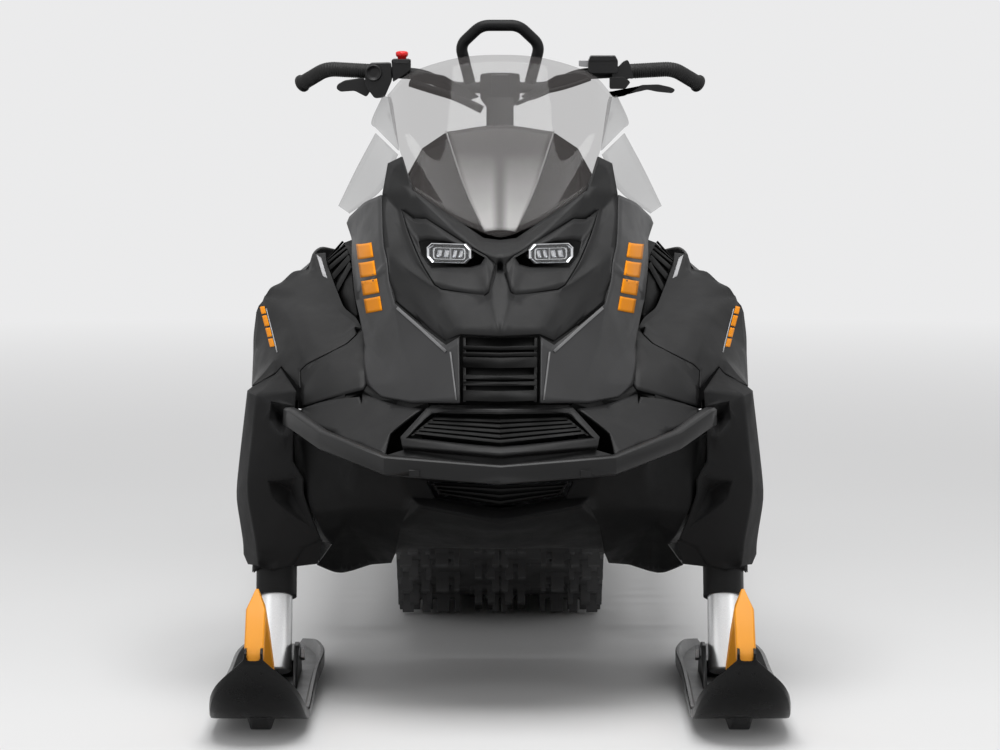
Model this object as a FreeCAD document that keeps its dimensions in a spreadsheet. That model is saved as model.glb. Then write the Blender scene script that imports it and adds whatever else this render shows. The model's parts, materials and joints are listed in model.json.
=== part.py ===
"""A narrow-stance utility snowmobile with telescopic ski legs, as separate pieces in one frame.

Millimetres, +Z up, front towards -Y, +X is the rider's left. The origin is on the floor, at the
middle of the outline of the whole machine. Pieces named left are built and pieces named right are
their mirror image in the plane X = 0. Body panels are quilts of patches between named spots; screens
and other sheets are skins between feature lines, with a row of x, y, z for each point.
"""

import FreeCAD
import Part

import math
import os

import Sketcher
from FreeCAD import Placement, Rotation, Vector

# alias, value, what it is
SIZES = [
    ("overall_long", 3250, "ski tip to snow flap"),
    ("ski_stance", 820, "between the middles of the two skis"),
    ("leg_stance", 811, "between the middles of the two legs"),
    ("ski_wide", 170, "widest place of a ski"),
    ("ski_long", 1080, "ski tip to tail"),
    ("ski_gauge", 7, "thickness of the ski's sole"),
    ("keel_deep", 20, "keel below the ski's sole"),
    ("keel_wide", 46, "keel at its top"),
    ("kingpin_y", -1010, "ski bolt, along the machine"),
    ("kingpin_z", 78, "ski bolt, above the floor"),
    ("kingpin_rake", 21, "lean of the ski leg, degrees"),
    ("leg_outer_rad", 36.8, "black outer tube of the leg"),
    ("leg_inner_rad", 29.5, "bright inner tube of the leg"),
    ("leg_bore_rad", 30.0, "bore of the outer tube"),
    ("leg_seal_up", 104, "ski bolt to the outer tube's lower end, along the leg"),
    ("leg_top_up", 470, "ski bolt to the outer tube's upper end, along the leg"),
    ("leg_inner_long", 320, "bright tube, along the leg"),
    ("track_wide", 406, "belt width"),
    ("lug_high", 36, "lug above the belt"),
    ("belt_thick", 7, "belt without its lugs"),
    ("drive_y", -330, "drive axle, along the machine"),
    ("drive_z", 335, "drive axle, above the floor"),
    ("drive_rad", 88, "sprocket under the belt"),
    ("bend_y", 95, "rail bend centre, along the machine"),
    ("bend_rad", 230, "rail bend"),
    ("rear_axle_y", 1296, "rear axle, along the machine"),
    ("idler_rad", 92, "rear idler wheels"),
    ("tunnel_wide", 440, "tunnel, outside"),
    ("tunnel_top", 502, "tunnel top"),
    ("tunnel_foot", 268, "lower edge of the tunnel's sides"),
    ("board_top", 300, "top of the running boards"),
    ("tunnel_gauge", 3, "tunnel sheet"),
    ("tunnel_long", 1900, "tunnel length"),
    ("tunnel_mid", 510, "tunnel middle, along the machine"),
    ("board_wide", 172, "running board beyond the tunnel"),
    ("board_long", 1120, "running board length"),
    ("board_mid", 300, "running board middle, along the machine"),
    ("board_thick", 5, "running board plate"),
    ("rail_x", 118, "slide rail from the middle"),
    ("rail_thick", 12, "slide rail"),
    ("bar_y", -300, "handlebar clamp, along the machine"),
    ("bar_z", 1068, "handlebar clamp, above the floor"),
    ("bar_rad", 11, "handlebar tube"),
    ("grip_rad", 17, "grip"),
    ("column_rake", 30, "lean of the steering column, degrees"),
    ("column_rad", 17, "steering column"),
    ("panel_thick", 3, "moulded body panels"),
    ("screen_thick", 3, "windshield sheet"),
    ("seat_top", 800, "top of the seat"),
    ("seat_wide", 262, "seat width"),
    ("seat_front", 40, "seat front, along the machine"),
    ("seat_long", 760, "seat length"),
    ("hitch_bore_rad", 9.5, "tow pin hole"),
    ("hitch_thick", 8, "hitch tongue plates"),
    ("engine_wide", 420, "engine block"),
    ("engine_long", 330, "engine block"),
    ("engine_high", 300, "engine block"),
]

doc = FreeCAD.newDocument("snowmobile")
sheet = doc.addObject("Spreadsheet::Sheet", "D")
for number, (alias, amount, meaning) in enumerate(SIZES, start=1):
    sheet.set(f"A{number}", meaning)
    sheet.set(f"B{number}", str(amount))
    sheet.setAlias(f"B{number}", alias)
doc.recompute()

PIECES = {}
X_AXIS = Vector(1, 0, 0)
Y_AXIS = Vector(0, 1, 0)
Z_AXIS = Vector(0, 0, 1)
ORIGIN = Vector(0, 0, 0)


def value(text):
    """The number that an expression of the sheet stands for."""
    return float(sheet.evalExpression(str(text)))


def size(alias):
    return float(getattr(sheet, alias))


# ---------------------------------------------------------------- document objects


def keep(label, obj):
    """Names a finished sub-part; its label is its file's name."""
    obj.Label = label
    PIECES[label] = obj
    return obj


def feature(label, shape, place=None):
    """A sub-part whose shape comes from Part's own functions."""
    obj = doc.addObject("Part::Feature", label)
    obj.Shape = shape
    if place is not None:
        obj.Placement = place
    return keep(label, obj)


def primitive(kind, name, place=None, **bound):
    """A Part primitive with each size bound to an expression of the sheet."""
    obj = doc.addObject(f"Part::{kind}", name)
    for prop, text in bound.items():
        obj.setExpression(prop, str(text))
    if place is not None:
        obj.Placement = place
    return obj


def cut(name, base, tool):
    obj = doc.addObject("Part::Cut", name)
    obj.Base = base
    obj.Tool = tool
    return obj


def compound(name, *objs):
    obj = doc.addObject("Part::Compound", name)
    obj.Links = list(objs)
    return obj


def mirrored(name, source):
    obj = doc.addObject("Part::Mirroring", name)
    obj.Source = source
    obj.Normal = X_AXIS
    return obj


def pair(label, left):
    """Both sides of the machine as one sub-part of separate solids."""
    return keep(label, compound(label, left, mirrored(label + "_mirror", left)))


def both(label, shape):
    """A left and a right sub-part from one left-hand shape."""
    feature(label + "_left", shape)
    feature(label + "_right", shape.mirror(ORIGIN, X_AXIS))


def sides(label, *shapes):
    """One sub-part of separate solids: the left-hand shapes and their mirror images."""
    feature(label, Part.Compound(list(shapes) + [s.mirror(ORIGIN, X_AXIS) for s in shapes]))


def plane(body, role):
    return next(f for f in body.Origin.OriginFeatures if f.Role == role)


def outline(body, name, role, corners, offset=0.0):
    """A closed sketch on an origin plane; each corner is a pair of sheet expressions."""
    sketch = body.newObject("Sketcher::SketchObject", name)
    sketch.AttachmentSupport = [(plane(body, role), "")]
    sketch.MapMode = "FlatFace"
    sketch.AttachmentOffset = Placement(Vector(0, 0, offset), Rotation())
    spots = [Vector(value(u), value(v), 0) for u, v in corners]
    count = len(spots)
    for k in range(count):
        sketch.addGeometry(Part.LineSegment(spots[k], spots[(k + 1) % count]), False)
    for k in range(count):
        sketch.addConstraint(Sketcher.Constraint("Coincident", k, 2, (k + 1) % count, 1))
    for k, texts in enumerate(corners):
        for kind, text, amount in zip(("DistanceX", "DistanceY"), texts, spots[k]):
            row = sketch.addConstraint(Sketcher.Constraint(kind, k, 1, amount))
            sketch.setExpression(f"Constraints[{row}]", str(text))
    return sketch


def pad(body, name, sketch, length):
    """A pad to both sides of its sketch plane."""
    obj = body.newObject("PartDesign::Pad", name)
    obj.Profile = sketch
    obj.SideType = "Symmetric"
    obj.setExpression("Length", str(length))
    return obj


def pocket_through(body, name, sketch):
    obj = body.newObject("PartDesign::Pocket", name)
    obj.Profile = sketch
    obj.SideType = "Symmetric"
    obj.Length = 2000
    return obj


def pattern(body, name, feature_obj, role, length, count):
    obj = body.newObject("PartDesign::LinearPattern", name)
    obj.Originals = [feature_obj]
    obj.Direction = (plane(body, role), [""])
    obj.setExpression("Length", str(length))
    obj.Occurrences = count
    body.Tip = obj
    return obj


# ---------------------------------------------------------------- shapes


def agreed(faces):
    """The faces, turned so that neighbours wind the same way round."""
    def edges(face):
        return list(zip(face, face[1:] + face[:1]))

    beside = {}
    for k, face in enumerate(faces):
        for edge in edges(face):
            beside.setdefault(frozenset(edge), []).append(k)
    turned = {0: faces[0]}
    waiting = [0]
    while waiting:
        for edge in edges(turned[waiting.pop()]):
            for k in beside[frozenset(edge)]:
                if k not in turned:
                    turned[k] = faces[k][::-1] if edge in edges(faces[k]) else faces[k]
                    waiting.append(k)
    if len(turned) < len(faces):
        raise ValueError("the faces aren't all joined")
    return [turned[k] for k in range(len(faces))]


def polyhedron(points, faces):
    """A closed solid from corner points and flat faces given as corner numbers."""
    made = [Part.Face(Part.makePolygon([points[k] for k in f + f[:1]])) for f in agreed(faces)]
    shell = Part.makeShell(made)
    shell.sewShape()
    solid = Part.makeSolid(Part.Shell(shell.Faces))
    if solid.Volume < 0:
        solid.reverse()
    return solid


def through(line, finer):
    """The line with finer - 1 extra points between neighbours, on a Catmull-Rom curve."""
    if finer == 1:
        return [Vector(*p) for p in line]
    spots = [Vector(*p) for p in line]
    ends = [spots[0] * 2 - spots[1]] + spots + [spots[-1] * 2 - spots[-2]]
    out = []
    for a, b, c, d in zip(ends, ends[1:], ends[2:], ends[3:]):
        for k in range(finer):
            t = k / finer
            out.append(
                (b * 2 + (c - a) * t + (a * 2 - b * 5 + c * 4 - d) * t**2
                 + (b * 3 - a - c * 3 + d) * t**3) * 0.5
            )
    return out + [spots[-1]]


def skin(lines, facing, thick, crown=0.0, across=1, along=1, gap=0.0):
    """A panel of even thickness between feature lines.

    facing points out of the panel. Between neighbouring lines it has across strips, which
    stand crown proud in the middle; along the lines each stretch has along pieces. gap pulls
    the panel's four edges back, for the shut line to the next panel.
    """
    ribs = [through(line, along) for line in lines]
    facing = Vector(*facing)
    grid = []
    for one, two in zip(ribs, ribs[1:]):
        for k in range(across):
            t = k / across
            rise = facing.normalize() * (crown * 4 * t * (1 - t))
            grid.append([a * (1 - t) + b * t + rise for a, b in zip(one, two)])
    grid.append(ribs[-1])
    rows, cols = len(grid), len(grid[0])
    if gap:
        for row in grid:
            row[0] = row[0] + (row[1] - row[0]).normalize() * gap
            row[-1] = row[-1] + (row[-2] - row[-1]).normalize() * gap
        first, last = grid[0], grid[-1]
        grid[0] = [a + (b - a).normalize() * gap for a, b in zip(first, grid[1])]
        grid[-1] = [a + (b - a).normalize() * gap for a, b in zip(last, grid[-2])]

    def normal(i, j):
        down, up = grid[max(i - 1, 0)][j], grid[min(i + 1, rows - 1)][j]
        back, on = grid[i][max(j - 1, 0)], grid[i][min(j + 1, cols - 1)]
        n = (up - down).cross(on - back)
        return n.normalize() * (1 if n.dot(facing) > 0 else -1)

    outer = [grid[i][j] for i in range(rows) for j in range(cols)]
    inner = [grid[i][j] - normal(i, j) * thick for i in range(rows) for j in range(cols)]
    faces = []
    under = rows * cols
    for i in range(rows - 1):
        for j in range(cols - 1):
            a, b = i * cols + j, i * cols + j + 1
            c, d = b + cols, a + cols
            faces += [(a, b, c), (a, c, d)]
            faces += [(under + a, under + c, under + b), (under + a, under + d, under + c)]
    rim = [j for j in range(cols)]
    rim += [i * cols + cols - 1 for i in range(1, rows)]
    rim += [(rows - 1) * cols + j for j in range(cols - 2, -1, -1)]
    rim += [i * cols for i in range(rows - 2, 0, -1)]
    for a, b in zip(rim, rim[1:] + rim[:1]):
        faces += [(a, under + b, b), (a, under + a, under + b)]
    return polyhedron(outer + inner, faces)


def whole(lines):
    """Lines for the full width, from lines that start at the middle and go to the left side."""
    return [[(-x, y, z) for x, y, z in line] for line in reversed(lines[1:])] + lines


def ruled(sections):
    """A solid with straight runs between flat polygonal sections."""
    count = len(sections[0])
    points = [Vector(*p) for section in sections for p in section]
    last = len(points) - count
    faces = [tuple(range(count)), tuple(range(last, last + count))]
    for start in range(0, last, count):
        for k in range(count):
            a, b = start + k, start + (k + 1) % count
            faces += [(a, b, b + count), (a, b + count, a + count)]
    return polyhedron(points, faces)


def turned(profile, flats):
    """A wheel about the X axis with flats sides, from its closed section of (x, radius)."""
    count = len(profile)
    points = []
    for side in range(flats):
        turn = 2 * math.pi * side / flats
        points += [Vector(x, r * math.cos(turn), r * math.sin(turn)) for x, r in profile]
    faces = []
    for side in range(flats):
        here, there = side * count, (side + 1) % flats * count
        for k in range(count):
            on = (k + 1) % count
            faces.append((here + k, here + on, there + on, there + k))
    return polyhedron(points, faces)


def stations(points, bend, steps=2):
    """Places and directions along straight runs joined by tangent arcs of radius bend."""
    spots = [Vector(*p) for p in points]
    made = [(spots[0], (spots[1] - spots[0]).normalize())]
    for before, corner, after in zip(spots, spots[1:], spots[2:]):
        back, on = (before - corner).normalize(), (after - corner).normalize()
        half = back.getAngle(on) / 2
        start = corner + back * (bend / math.tan(half))
        centre = corner + (back + on).normalize() * (bend / math.sin(half))
        axis = on.cross(back).normalize()
        for k in range(steps + 1):
            turn = Rotation(axis, math.degrees(math.pi - 2 * half) * k / steps)
            made.append((centre + turn.multVec(start - centre), turn.multVec(back * -1)))
    made.append((spots[-1], (spots[-1] - spots[-2]).normalize()))
    return made


def rings(line, rad, flats):
    """Polygon rings round the stations of a line, without twist."""
    across = line[0][1].cross(Z_AXIS)
    if across.Length < 0.1:
        across = line[0][1].cross(X_AXIS)
    made = []
    for spot, ahead in line:
        across = (across - ahead * across.dot(ahead)).normalize()
        up = ahead.cross(across)
        turns = [2 * math.pi * (k + 0.5) / flats for k in range(flats)]
        made.append([spot + across * (rad * math.cos(t)) + up * (rad * math.sin(t)) for t in turns])
    return made


def bar(points, rad, bend, flats=8):
    """A bent round bar with flats sides."""
    return ruled(rings(stations(points, bend), rad, flats))


def sleeve(points, rad, bore, bend, flats=8):
    """A bent tube with an open bore."""
    line = stations(points, bend)
    outer, inner = rings(line, rad, flats), rings(line, bore, flats)
    spots = [p for ring in outer + inner for p in ring]
    under = flats * len(line)
    last = under - flats
    faces = []
    for k in range(flats):
        on = (k + 1) % flats
        for start in (0, last):
            faces.append((start + k, start + on, under + start + on, under + start + k))
        for start in range(0, last, flats):
            for base in (start, under + start):
                a, b = base + k, base + on
                faces += [(a, b, b + flats), (a, b + flats, a + flats)]
    return polyhedron(spots, faces)


def pole(start, end, rad, flats=8):
    """A straight bar with flats sides."""
    return bar([start, end], rad, 0, flats)


def rod(start, end, rad):
    start, end = Vector(*start), Vector(*end)
    return Part.makeCylinder(rad, (end - start).Length, start, end - start)


def block(x, y, z):
    """A box from three (low, high) ranges."""
    return Part.makeBox(x[1] - x[0], y[1] - y[0], z[1] - z[0], Vector(x[0], y[0], z[0]))


def prism(corners, axis, start, length):
    """A flat outline pushed along an axis; corners are the other two coordinates in order."""
    place = {
        "X": lambda u, v: Vector(start, u, v),
        "Y": lambda u, v: Vector(u, start, v),
        "Z": lambda u, v: Vector(u, v, start),
    }[axis]
    push = {"X": X_AXIS, "Y": Y_AXIS, "Z": Z_AXIS}[axis] * length
    spots = [place(u, v) for u, v in corners]
    return Part.Face(Part.makePolygon(spots + spots[:1])).extrude(push)


def mirror(shape):
    return shape.mirror(ORIGIN, X_AXIS)


def joined(shapes):
    return shapes[0].multiFuse(shapes[1:]).removeSplitter()


# ---------------------------------------------------------------- tunnel and boards

body = doc.addObject("PartDesign::Body", "TunnelBody")
WALL = "D.tunnel_wide / 2"
TUNNEL_EDGE = [
    (f"-{WALL}", "D.tunnel_foot"),
    (f"-{WALL} + D.tunnel_gauge", "D.tunnel_foot"),
    (f"-{WALL} + D.tunnel_gauge", "D.tunnel_top - 42"),
    (f"-{WALL} + 40", "D.tunnel_top - D.tunnel_gauge"),
    (f"{WALL} - 40", "D.tunnel_top - D.tunnel_gauge"),
    (f"{WALL} - D.tunnel_gauge", "D.tunnel_top - 42"),
    (f"{WALL} - D.tunnel_gauge", "D.tunnel_foot"),
    (WALL, "D.tunnel_foot"),
    (WALL, "D.tunnel_top - 40"),
    (f"{WALL} - 39", "D.tunnel_top"),
    (f"-{WALL} + 39", "D.tunnel_top"),
    (f"-{WALL}", "D.tunnel_top - 40"),
]
section = outline(body, "TunnelSection", "XZ_Plane", TUNNEL_EDGE)
pad(body, "TunnelPad", section, "D.tunnel_long")
body.setExpression("Placement.Base.y", "D.tunnel_mid")
keep("tunnel", body)

# Each board is a plate with rows of open slots and a turned-down outer edge.
body = doc.addObject("PartDesign::Body", "BoardBody")
BOARD_IN = "D.tunnel_wide / 2"
BOARD_OUT = "D.tunnel_wide / 2 + D.board_wide"
plate = outline(body, "BoardSection", "XZ_Plane", [
    (BOARD_IN, "D.board_top - D.board_thick"),
    (f"{BOARD_OUT} - D.board_thick", "D.board_top - D.board_thick"),
    (f"{BOARD_OUT} - D.board_thick", "D.board_top - 28"),
    (BOARD_OUT, "D.board_top - 28"),
    (BOARD_OUT, "D.board_top"),
    (BOARD_IN, "D.board_top"),
])
pad(body, "BoardPad", plate, "D.board_long")
slot = outline(body, "BoardSlot", "XY_Plane", [
    (f"{BOARD_IN} + 30", "-D.board_long / 2 + 60"),
    (f"{BOARD_OUT} - 34", "-D.board_long / 2 + 60"),
    (f"{BOARD_OUT} - 34", "-D.board_long / 2 + 120"),
    (f"{BOARD_IN} + 30", "-D.board_long / 2 + 120"),
])
opened = pocket_through(body, "BoardSlots", slot)
pattern(body, "BoardSlotRow", opened, "Y_Axis", "D.board_long - 180", 10)
body.setExpression("Placement.Base.y", "D.board_mid")
pair("running_boards", body)


# ---------------------------------------------------------------- track and what it runs on

BEND_Z = size("lug_high") + size("belt_thick") + size("bend_rad")
REAR_Z = size("lug_high") + size("belt_thick") + size("idler_rad")
# centre along the machine, centre height, radius: what the inside of the belt goes round
WRAPS = [
    (size("drive_y"), size("drive_z"), size("drive_rad")),
    (size("bend_y"), BEND_Z, size("bend_rad")),
    (size("rear_axle_y"), REAR_Z, size("idler_rad")),
]


def belt_runs(wraps):
    """Straight runs and arcs round the wraps: (length, start angle, radius, centre or start)."""
    leave = []
    for one, two in zip(wraps, wraps[1:] + wraps[:1]):
        apart = Vector(two[0] - one[0], two[1] - one[1], 0)
        lean = math.acos((one[2] - two[2]) / apart.Length)
        leave.append((math.atan2(apart.y, apart.x) - lean, apart.Length))
    runs = []
    for k, wrap in enumerate(wraps):
        arrive, (angle, apart) = leave[k - 1][0], leave[k]
        turn = (angle - arrive) % (2 * math.pi)
        runs.append((turn * wrap[2], arrive, wrap[2], wrap))
        change = wrap[2] - wraps[(k + 1) % len(wraps)][2]
        runs.append((math.sqrt(apart**2 - change**2), angle, 0, wrap))
    return runs


def belt_spot(runs, along):
    """Inside point (y, z) of the belt and its outward direction, after a length along it."""
    along = along % sum(run[0] for run in runs)
    for length, angle, rad, (cy, cz, wrap_rad) in runs:
        if along <= length:
            if rad:
                angle += along / rad
                along = 0
            out = Vector(0, math.cos(angle), math.sin(angle))
            ahead = Vector(0, -math.sin(angle), math.cos(angle))
            return Vector(0, cy, cz) + out * wrap_rad + ahead * along, out, ahead
        along -= length
    raise ValueError("past the end of the belt")


# Lugs of the two kinds of row: from and to, as shares of half the belt's width.
LUG_ROWS = [
    [(-1, -0.68), (-0.62, -0.39), (-0.13, 0.13), (0.39, 0.62), (0.68, 1)],
    [(-1, -0.67), (-0.28, -0.02), (0.02, 0.28), (0.67, 1)],
]
ROW_COUNT = 54
LUG_FOOT = 26
LUG_TIP = 15


def track_solid():
    """The belt with its lugs: one closed skin, a lug strip and a bare strip for each row."""
    runs = belt_runs(WRAPS)
    pitch = sum(run[0] for run in runs) / ROW_COUNT
    half, thick, high = size("track_wide") / 2, size("belt_thick"), size("lug_high")
    faces = []

    def quad(*corners):
        faces.append(Part.Face(Part.makePolygon(list(corners) + [corners[0]])))

    def at(spot, x):
        return Vector(x, spot.y, spot.z)

    rows = []
    for k in range(ROW_COUNT):
        edges = []
        for share in (-0.5, 0.5):
            spot, out, _ = belt_spot(runs, k * pitch + share * LUG_FOOT)
            edges.append((spot, spot + out * thick))
        middle, out, ahead = belt_spot(runs, k * pitch)
        top = middle + out * (thick + high)
        tips = [top + ahead * (share * LUG_TIP) for share in (-0.5, 0.5)]
        lugs = [(a * half, b * half) for a, b in LUG_ROWS[k % 2]]
        rows.append((edges, tips, lugs))
    for k, (edges, tips, lugs) in enumerate(rows):
        (in_a, out_a), (in_b, out_b) = edges
        quad(at(in_a, -half), at(in_a, half), at(in_b, half), at(in_b, -half))
        for x in (-half, half):
            quad(at(in_a, x), at(in_b, x), at(out_b, x), at(out_a, x))
        for low, up in lugs:
            quad(at(out_a, low), at(out_a, up), at(tips[0], up), at(tips[0], low))
            quad(at(out_b, low), at(out_b, up), at(tips[1], up), at(tips[1], low))
            quad(at(tips[0], low), at(tips[0], up), at(tips[1], up), at(tips[1], low))
            for x in (low, up):
                quad(at(out_a, x), at(tips[0], x), at(tips[1], x), at(out_b, x))
        for (_, low), (up, _) in zip(lugs, lugs[1:]):
            quad(at(out_a, low), at(out_a, up), at(out_b, up), at(out_b, low))
        next_edges, _, next_lugs = rows[(k + 1) % ROW_COUNT]
        in_c, out_c = next_edges[0]
        quad(at(in_b, -half), at(in_b, half), at(in_c, half), at(in_c, -half))
        for x in (-half, half):
            quad(at(in_b, x), at(in_c, x), at(out_c, x), at(out_b, x))
        here = [at(out_b, x) for lug in lugs for x in lug]
        there = [at(out_c, x) for lug in next_lugs for x in lug]
        quad(*here, *reversed(there))
    shell = Part.makeShell(faces)
    shell.sewShape()
    solid = Part.makeSolid(Part.Shell(shell.Faces))
    if solid.Volume < 0:
        solid.reverse()
    return solid


feature("track", track_solid())
BELT_SAG = 4
INNER_FLOOR = size("lug_high") + size("belt_thick")
RAIL_REAR = 1230
RAIL_TOP = 62
BEND_SWEEP = math.radians(48)
RAIL_WINDOWS = 5


def rail():
    """A slide rail: flat below, with windows, its nose turned up along the belt's bend."""
    cy, cz, rad = WRAPS[1]
    low = rad - BELT_SAG
    top = low - RAIL_TOP
    inner_x = size("rail_x") - size("rail_thick") / 2

    def nose(radius, shares):
        turns = [BEND_SWEEP * share for share in shares]
        return [(cy - radius * math.sin(t), cz - radius * math.cos(t)) for t in turns]

    edge = [(RAIL_REAR, cz - low)] + nose(low, (0, 0.25, 0.5, 0.75, 1)) + nose(top, (1, 0.5, 0))
    plate = prism(edge + [(RAIL_REAR, cz - top)], "X", inner_x, size("rail_thick"))
    middle = cz - (low + top) / 2
    for k in range(RAIL_WINDOWS):
        y = 250 + 180 * k
        window = [(y - 42, middle), (y - 28, middle - 15), (y + 28, middle - 15), (y + 42, middle),
                  (y + 28, middle + 15), (y - 28, middle + 15)]
        plate = plate.cut(prism(window, "X", inner_x, size("rail_thick")))
    return plate


slider_low = INNER_FLOOR + 0.5
slider_top = BEND_Z - size("bend_rad") + BELT_SAG
rail_left = rail()
slider = block((size("rail_x") - 14, size("rail_x") + 14), (size("bend_y") + 10, RAIL_REAR),
               (slider_low, slider_top))
sides("slide_rails", rail_left)
sides("rail_sliders", slider)


def wheel(rad, wide, bore, flats):
    """A wheel about the X axis: a rim and a hub with a thinner web between them."""
    half = wide / 2
    section = [(half, rad), (half, rad * 0.8), (half * 0.4, bore)]
    return turned(section + [(-x, r) for x, r in reversed(section)], flats)


def copies(shape, places):
    made = []
    for x, y, z in places:
        one = shape.copy()
        one.translate(Vector(x, y, z))
        made.append(one)
    return made


def under_top_run(y, rad):
    """Height of a wheel's middle when the wheel touches the top run of the belt inside."""
    (ay, az, ar), (by, bz, br) = WRAPS[0], WRAPS[2]
    share = (y - ay) / (by - ay)
    return az + (bz - az) * share + ar + (br - ar) * share - rad - 2


SMALL_RAD = 62
SMALL_Z = INNER_FLOOR + SMALL_RAD
CARRIER_Y = 700
AXLE_RAD = 12
# along and up: the middles of the small wheels, on each side at the same place across
SMALL_SPOTS = [(420, SMALL_Z), (860, SMALL_Z), (CARRIER_Y, under_top_run(CARRIER_Y, SMALL_RAD))]
rear_spots = [(x, size("rear_axle_y"), REAR_Z) for x in (-165, -70, 70, 165)]
small_spots = [(x, y, z) for x in (-152, 152) for y, z in SMALL_SPOTS]
big_wheel = wheel(size("idler_rad") - BELT_SAG, 24, AXLE_RAD + 1, 14)
small_wheel = wheel(SMALL_RAD - 1, 22, 10, 10)
wheels = copies(big_wheel, rear_spots) + copies(small_wheel, small_spots)
feature("idler_wheels", Part.Compound(wheels))

axle_y = size("rear_axle_y")
axle = pole((-190, axle_y, REAR_Z), (190, axle_y, REAR_Z), AXLE_RAD)
blocks = [block((x - 20, x + 20), (RAIL_REAR - 40, axle_y + 18), (REAR_Z - 18, REAR_Z + 18))
          for x in (size("rail_x"), -size("rail_x"))]
feature("rear_axle", joined([axle] + blocks))

SPROCKET_TEETH = 8


def sprocket():
    """A toothed drive wheel about the X axis, its teeth as high as the belt's inside."""
    root, tip = size("drive_rad") - 22, size("drive_rad") - BELT_SAG
    corners = []
    for k in range(SPROCKET_TEETH):
        for share, rad in ((-0.30, root), (-0.16, tip), (0.16, tip), (0.30, root)):
            turn = 2 * math.pi * (k + share) / SPROCKET_TEETH
            corners.append((rad * math.cos(turn), rad * math.sin(turn)))
    return prism(corners, "X", -16, 32)


wheel_shape = sprocket()
drive_mid = Vector(0, size("drive_y"), size("drive_z"))
IN_TUNNEL = size("tunnel_wide") / 2 - size("tunnel_gauge")
drive = [pole((-IN_TUNNEL, drive_mid.y, drive_mid.z), (IN_TUNNEL, drive_mid.y, drive_mid.z), 16)]
drive += copies(wheel_shape, [(x, drive_mid.y, drive_mid.z) for x in (-112, 112)])
feature("drive_axle", joined(drive))

# Suspension arms: from a cross shaft in the tunnel to a cross shaft between the rails.
ARM_TUBE = 14


def swing_arm(top, foot, half_top, half_foot):
    (ty, tz), (fy, fz) = top, foot
    bars = [pole((-half_top, ty, tz), (half_top, ty, tz), ARM_TUBE),
            pole((-half_foot, fy, fz), (half_foot, fy, fz), ARM_TUBE)]
    bars += [pole((x, ty, tz), (x, fy, fz), ARM_TUBE) for x in (-85, 85)]
    return joined(bars)


IN_RAILS = size("rail_x") - size("rail_thick") / 2
FRONT_TOP = (40, 330)
FRONT_FOOT = (330, 92)
REAR_TOP = (560, 286)
REAR_FOOT = (905, 92)
feature("front_arm", swing_arm(FRONT_TOP, FRONT_FOOT, IN_TUNNEL, IN_RAILS))
feature("rear_arm", swing_arm(REAR_TOP, REAR_FOOT, IN_TUNNEL, IN_RAILS))

# along and up: lower end, upper end of each shock absorber, between the arms' cross shafts
SHOCKS = [(FRONT_FOOT, FRONT_TOP), (FRONT_FOOT, REAR_TOP)]
SHOCK_X = [-34, 34]
DAMPER_RAD = 17
COIL_RAD = 31
COIL_PITCH = 42


def shock(low, top, x):
    """A damper body and its rod, from one cross shaft to the other."""
    a, b = Vector(x, *low), Vector(x, *top)
    way = (b - a).normalize()
    start, end = a + way * ARM_TUBE, b - way * ARM_TUBE
    middle = start + (end - start) * 0.5
    return joined([pole(middle, end, DAMPER_RAD), pole(start, middle, 7)])


def coil(low, top, x):
    """A spring round the damper, as a sleeve with one wave for each turn."""
    a, b = Vector(x, *low), Vector(x, *top)
    way = (b - a).normalize()
    long = (b - a).Length - 2 * ARM_TUBE - 40
    waves = 2 * int(long / COIL_PITCH)
    bore = DAMPER_RAD + 2
    section = [(k * long / waves, COIL_RAD - 6 * (k % 2)) for k in range(waves + 1)]
    made = turned(section + [(long, bore), (0, bore)], 8)
    made.Placement = Placement(a + way * (ARM_TUBE + 20), Rotation(X_AXIS, way))
    return made


feature("shock_absorbers", Part.Compound([shock(*s, x) for s, x in zip(SHOCKS, SHOCK_X)]))
feature("springs", Part.Compound([coil(*s, x) for s, x in zip(SHOCKS, SHOCK_X)]))

# ---------------------------------------------------------------- ski legs

RAKE = math.radians(size("kingpin_rake"))
LEG = Vector(0, math.sin(RAKE), math.cos(RAKE))
SKI_BOLT = Vector(size("leg_stance") / 2, size("kingpin_y"), size("kingpin_z"))
LEG_TURN = Rotation(Z_AXIS, LEG)


def up_leg(distance, x=None):
    """A point on the left leg's axis, or beside it at another x."""
    spot = SKI_BOLT + LEG * distance
    return spot if x is None else Vector(x, spot.y, spot.z)


seal = up_leg(size("leg_seal_up"))
outer = primitive("Cylinder", "LegOuter", Placement(seal, LEG_TURN), Radius="D.leg_outer_rad",
                  Height="D.leg_top_up - D.leg_seal_up")
bore = primitive("Cylinder", "LegBore", Placement(seal, LEG_TURN), Radius="D.leg_bore_rad",
                 Height="D.leg_top_up - D.leg_seal_up - 20")
pair("upper_legs", cut("UpperLeg", outer, bore))

CLAMP_RAD = size("leg_outer_rad") + 8
CROSS_RAD = 16
BACK_RAD = 12


def leg_clamp(low, high):
    """A ring round the leg, between two distances up it."""
    bore = size("leg_outer_rad") * 1.04
    ring = turned([(low, bore), (high, bore), (high, CLAMP_RAD), (low, CLAMP_RAD)], 12)
    ring.Placement = Placement(SKI_BOLT, Rotation(X_AXIS, LEG))
    return ring


def front_frame():
    """Clamps on both legs, the tubes across between them and the tubes back to the tunnel."""
    made = []
    for low, high in ((235, 285), (400, 450)):
        ring = leg_clamp(low, high)
        _, y, z = up_leg((low + high) / 2)
        inner_x = size("leg_stance") / 2 - size("leg_outer_rad") - 4
        made += [ring, mirror(ring), pole((-inner_x, y, z), (inner_x, y, z), CROSS_RAD)]
    upper = up_leg(425)
    beside = size("tunnel_wide") / 2 + BACK_RAD
    for x in (-beside, beside):
        made.append(pole((x, upper.y - 4, upper.z), (x, -390, 440), BACK_RAD))
    return joined(made)


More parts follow.
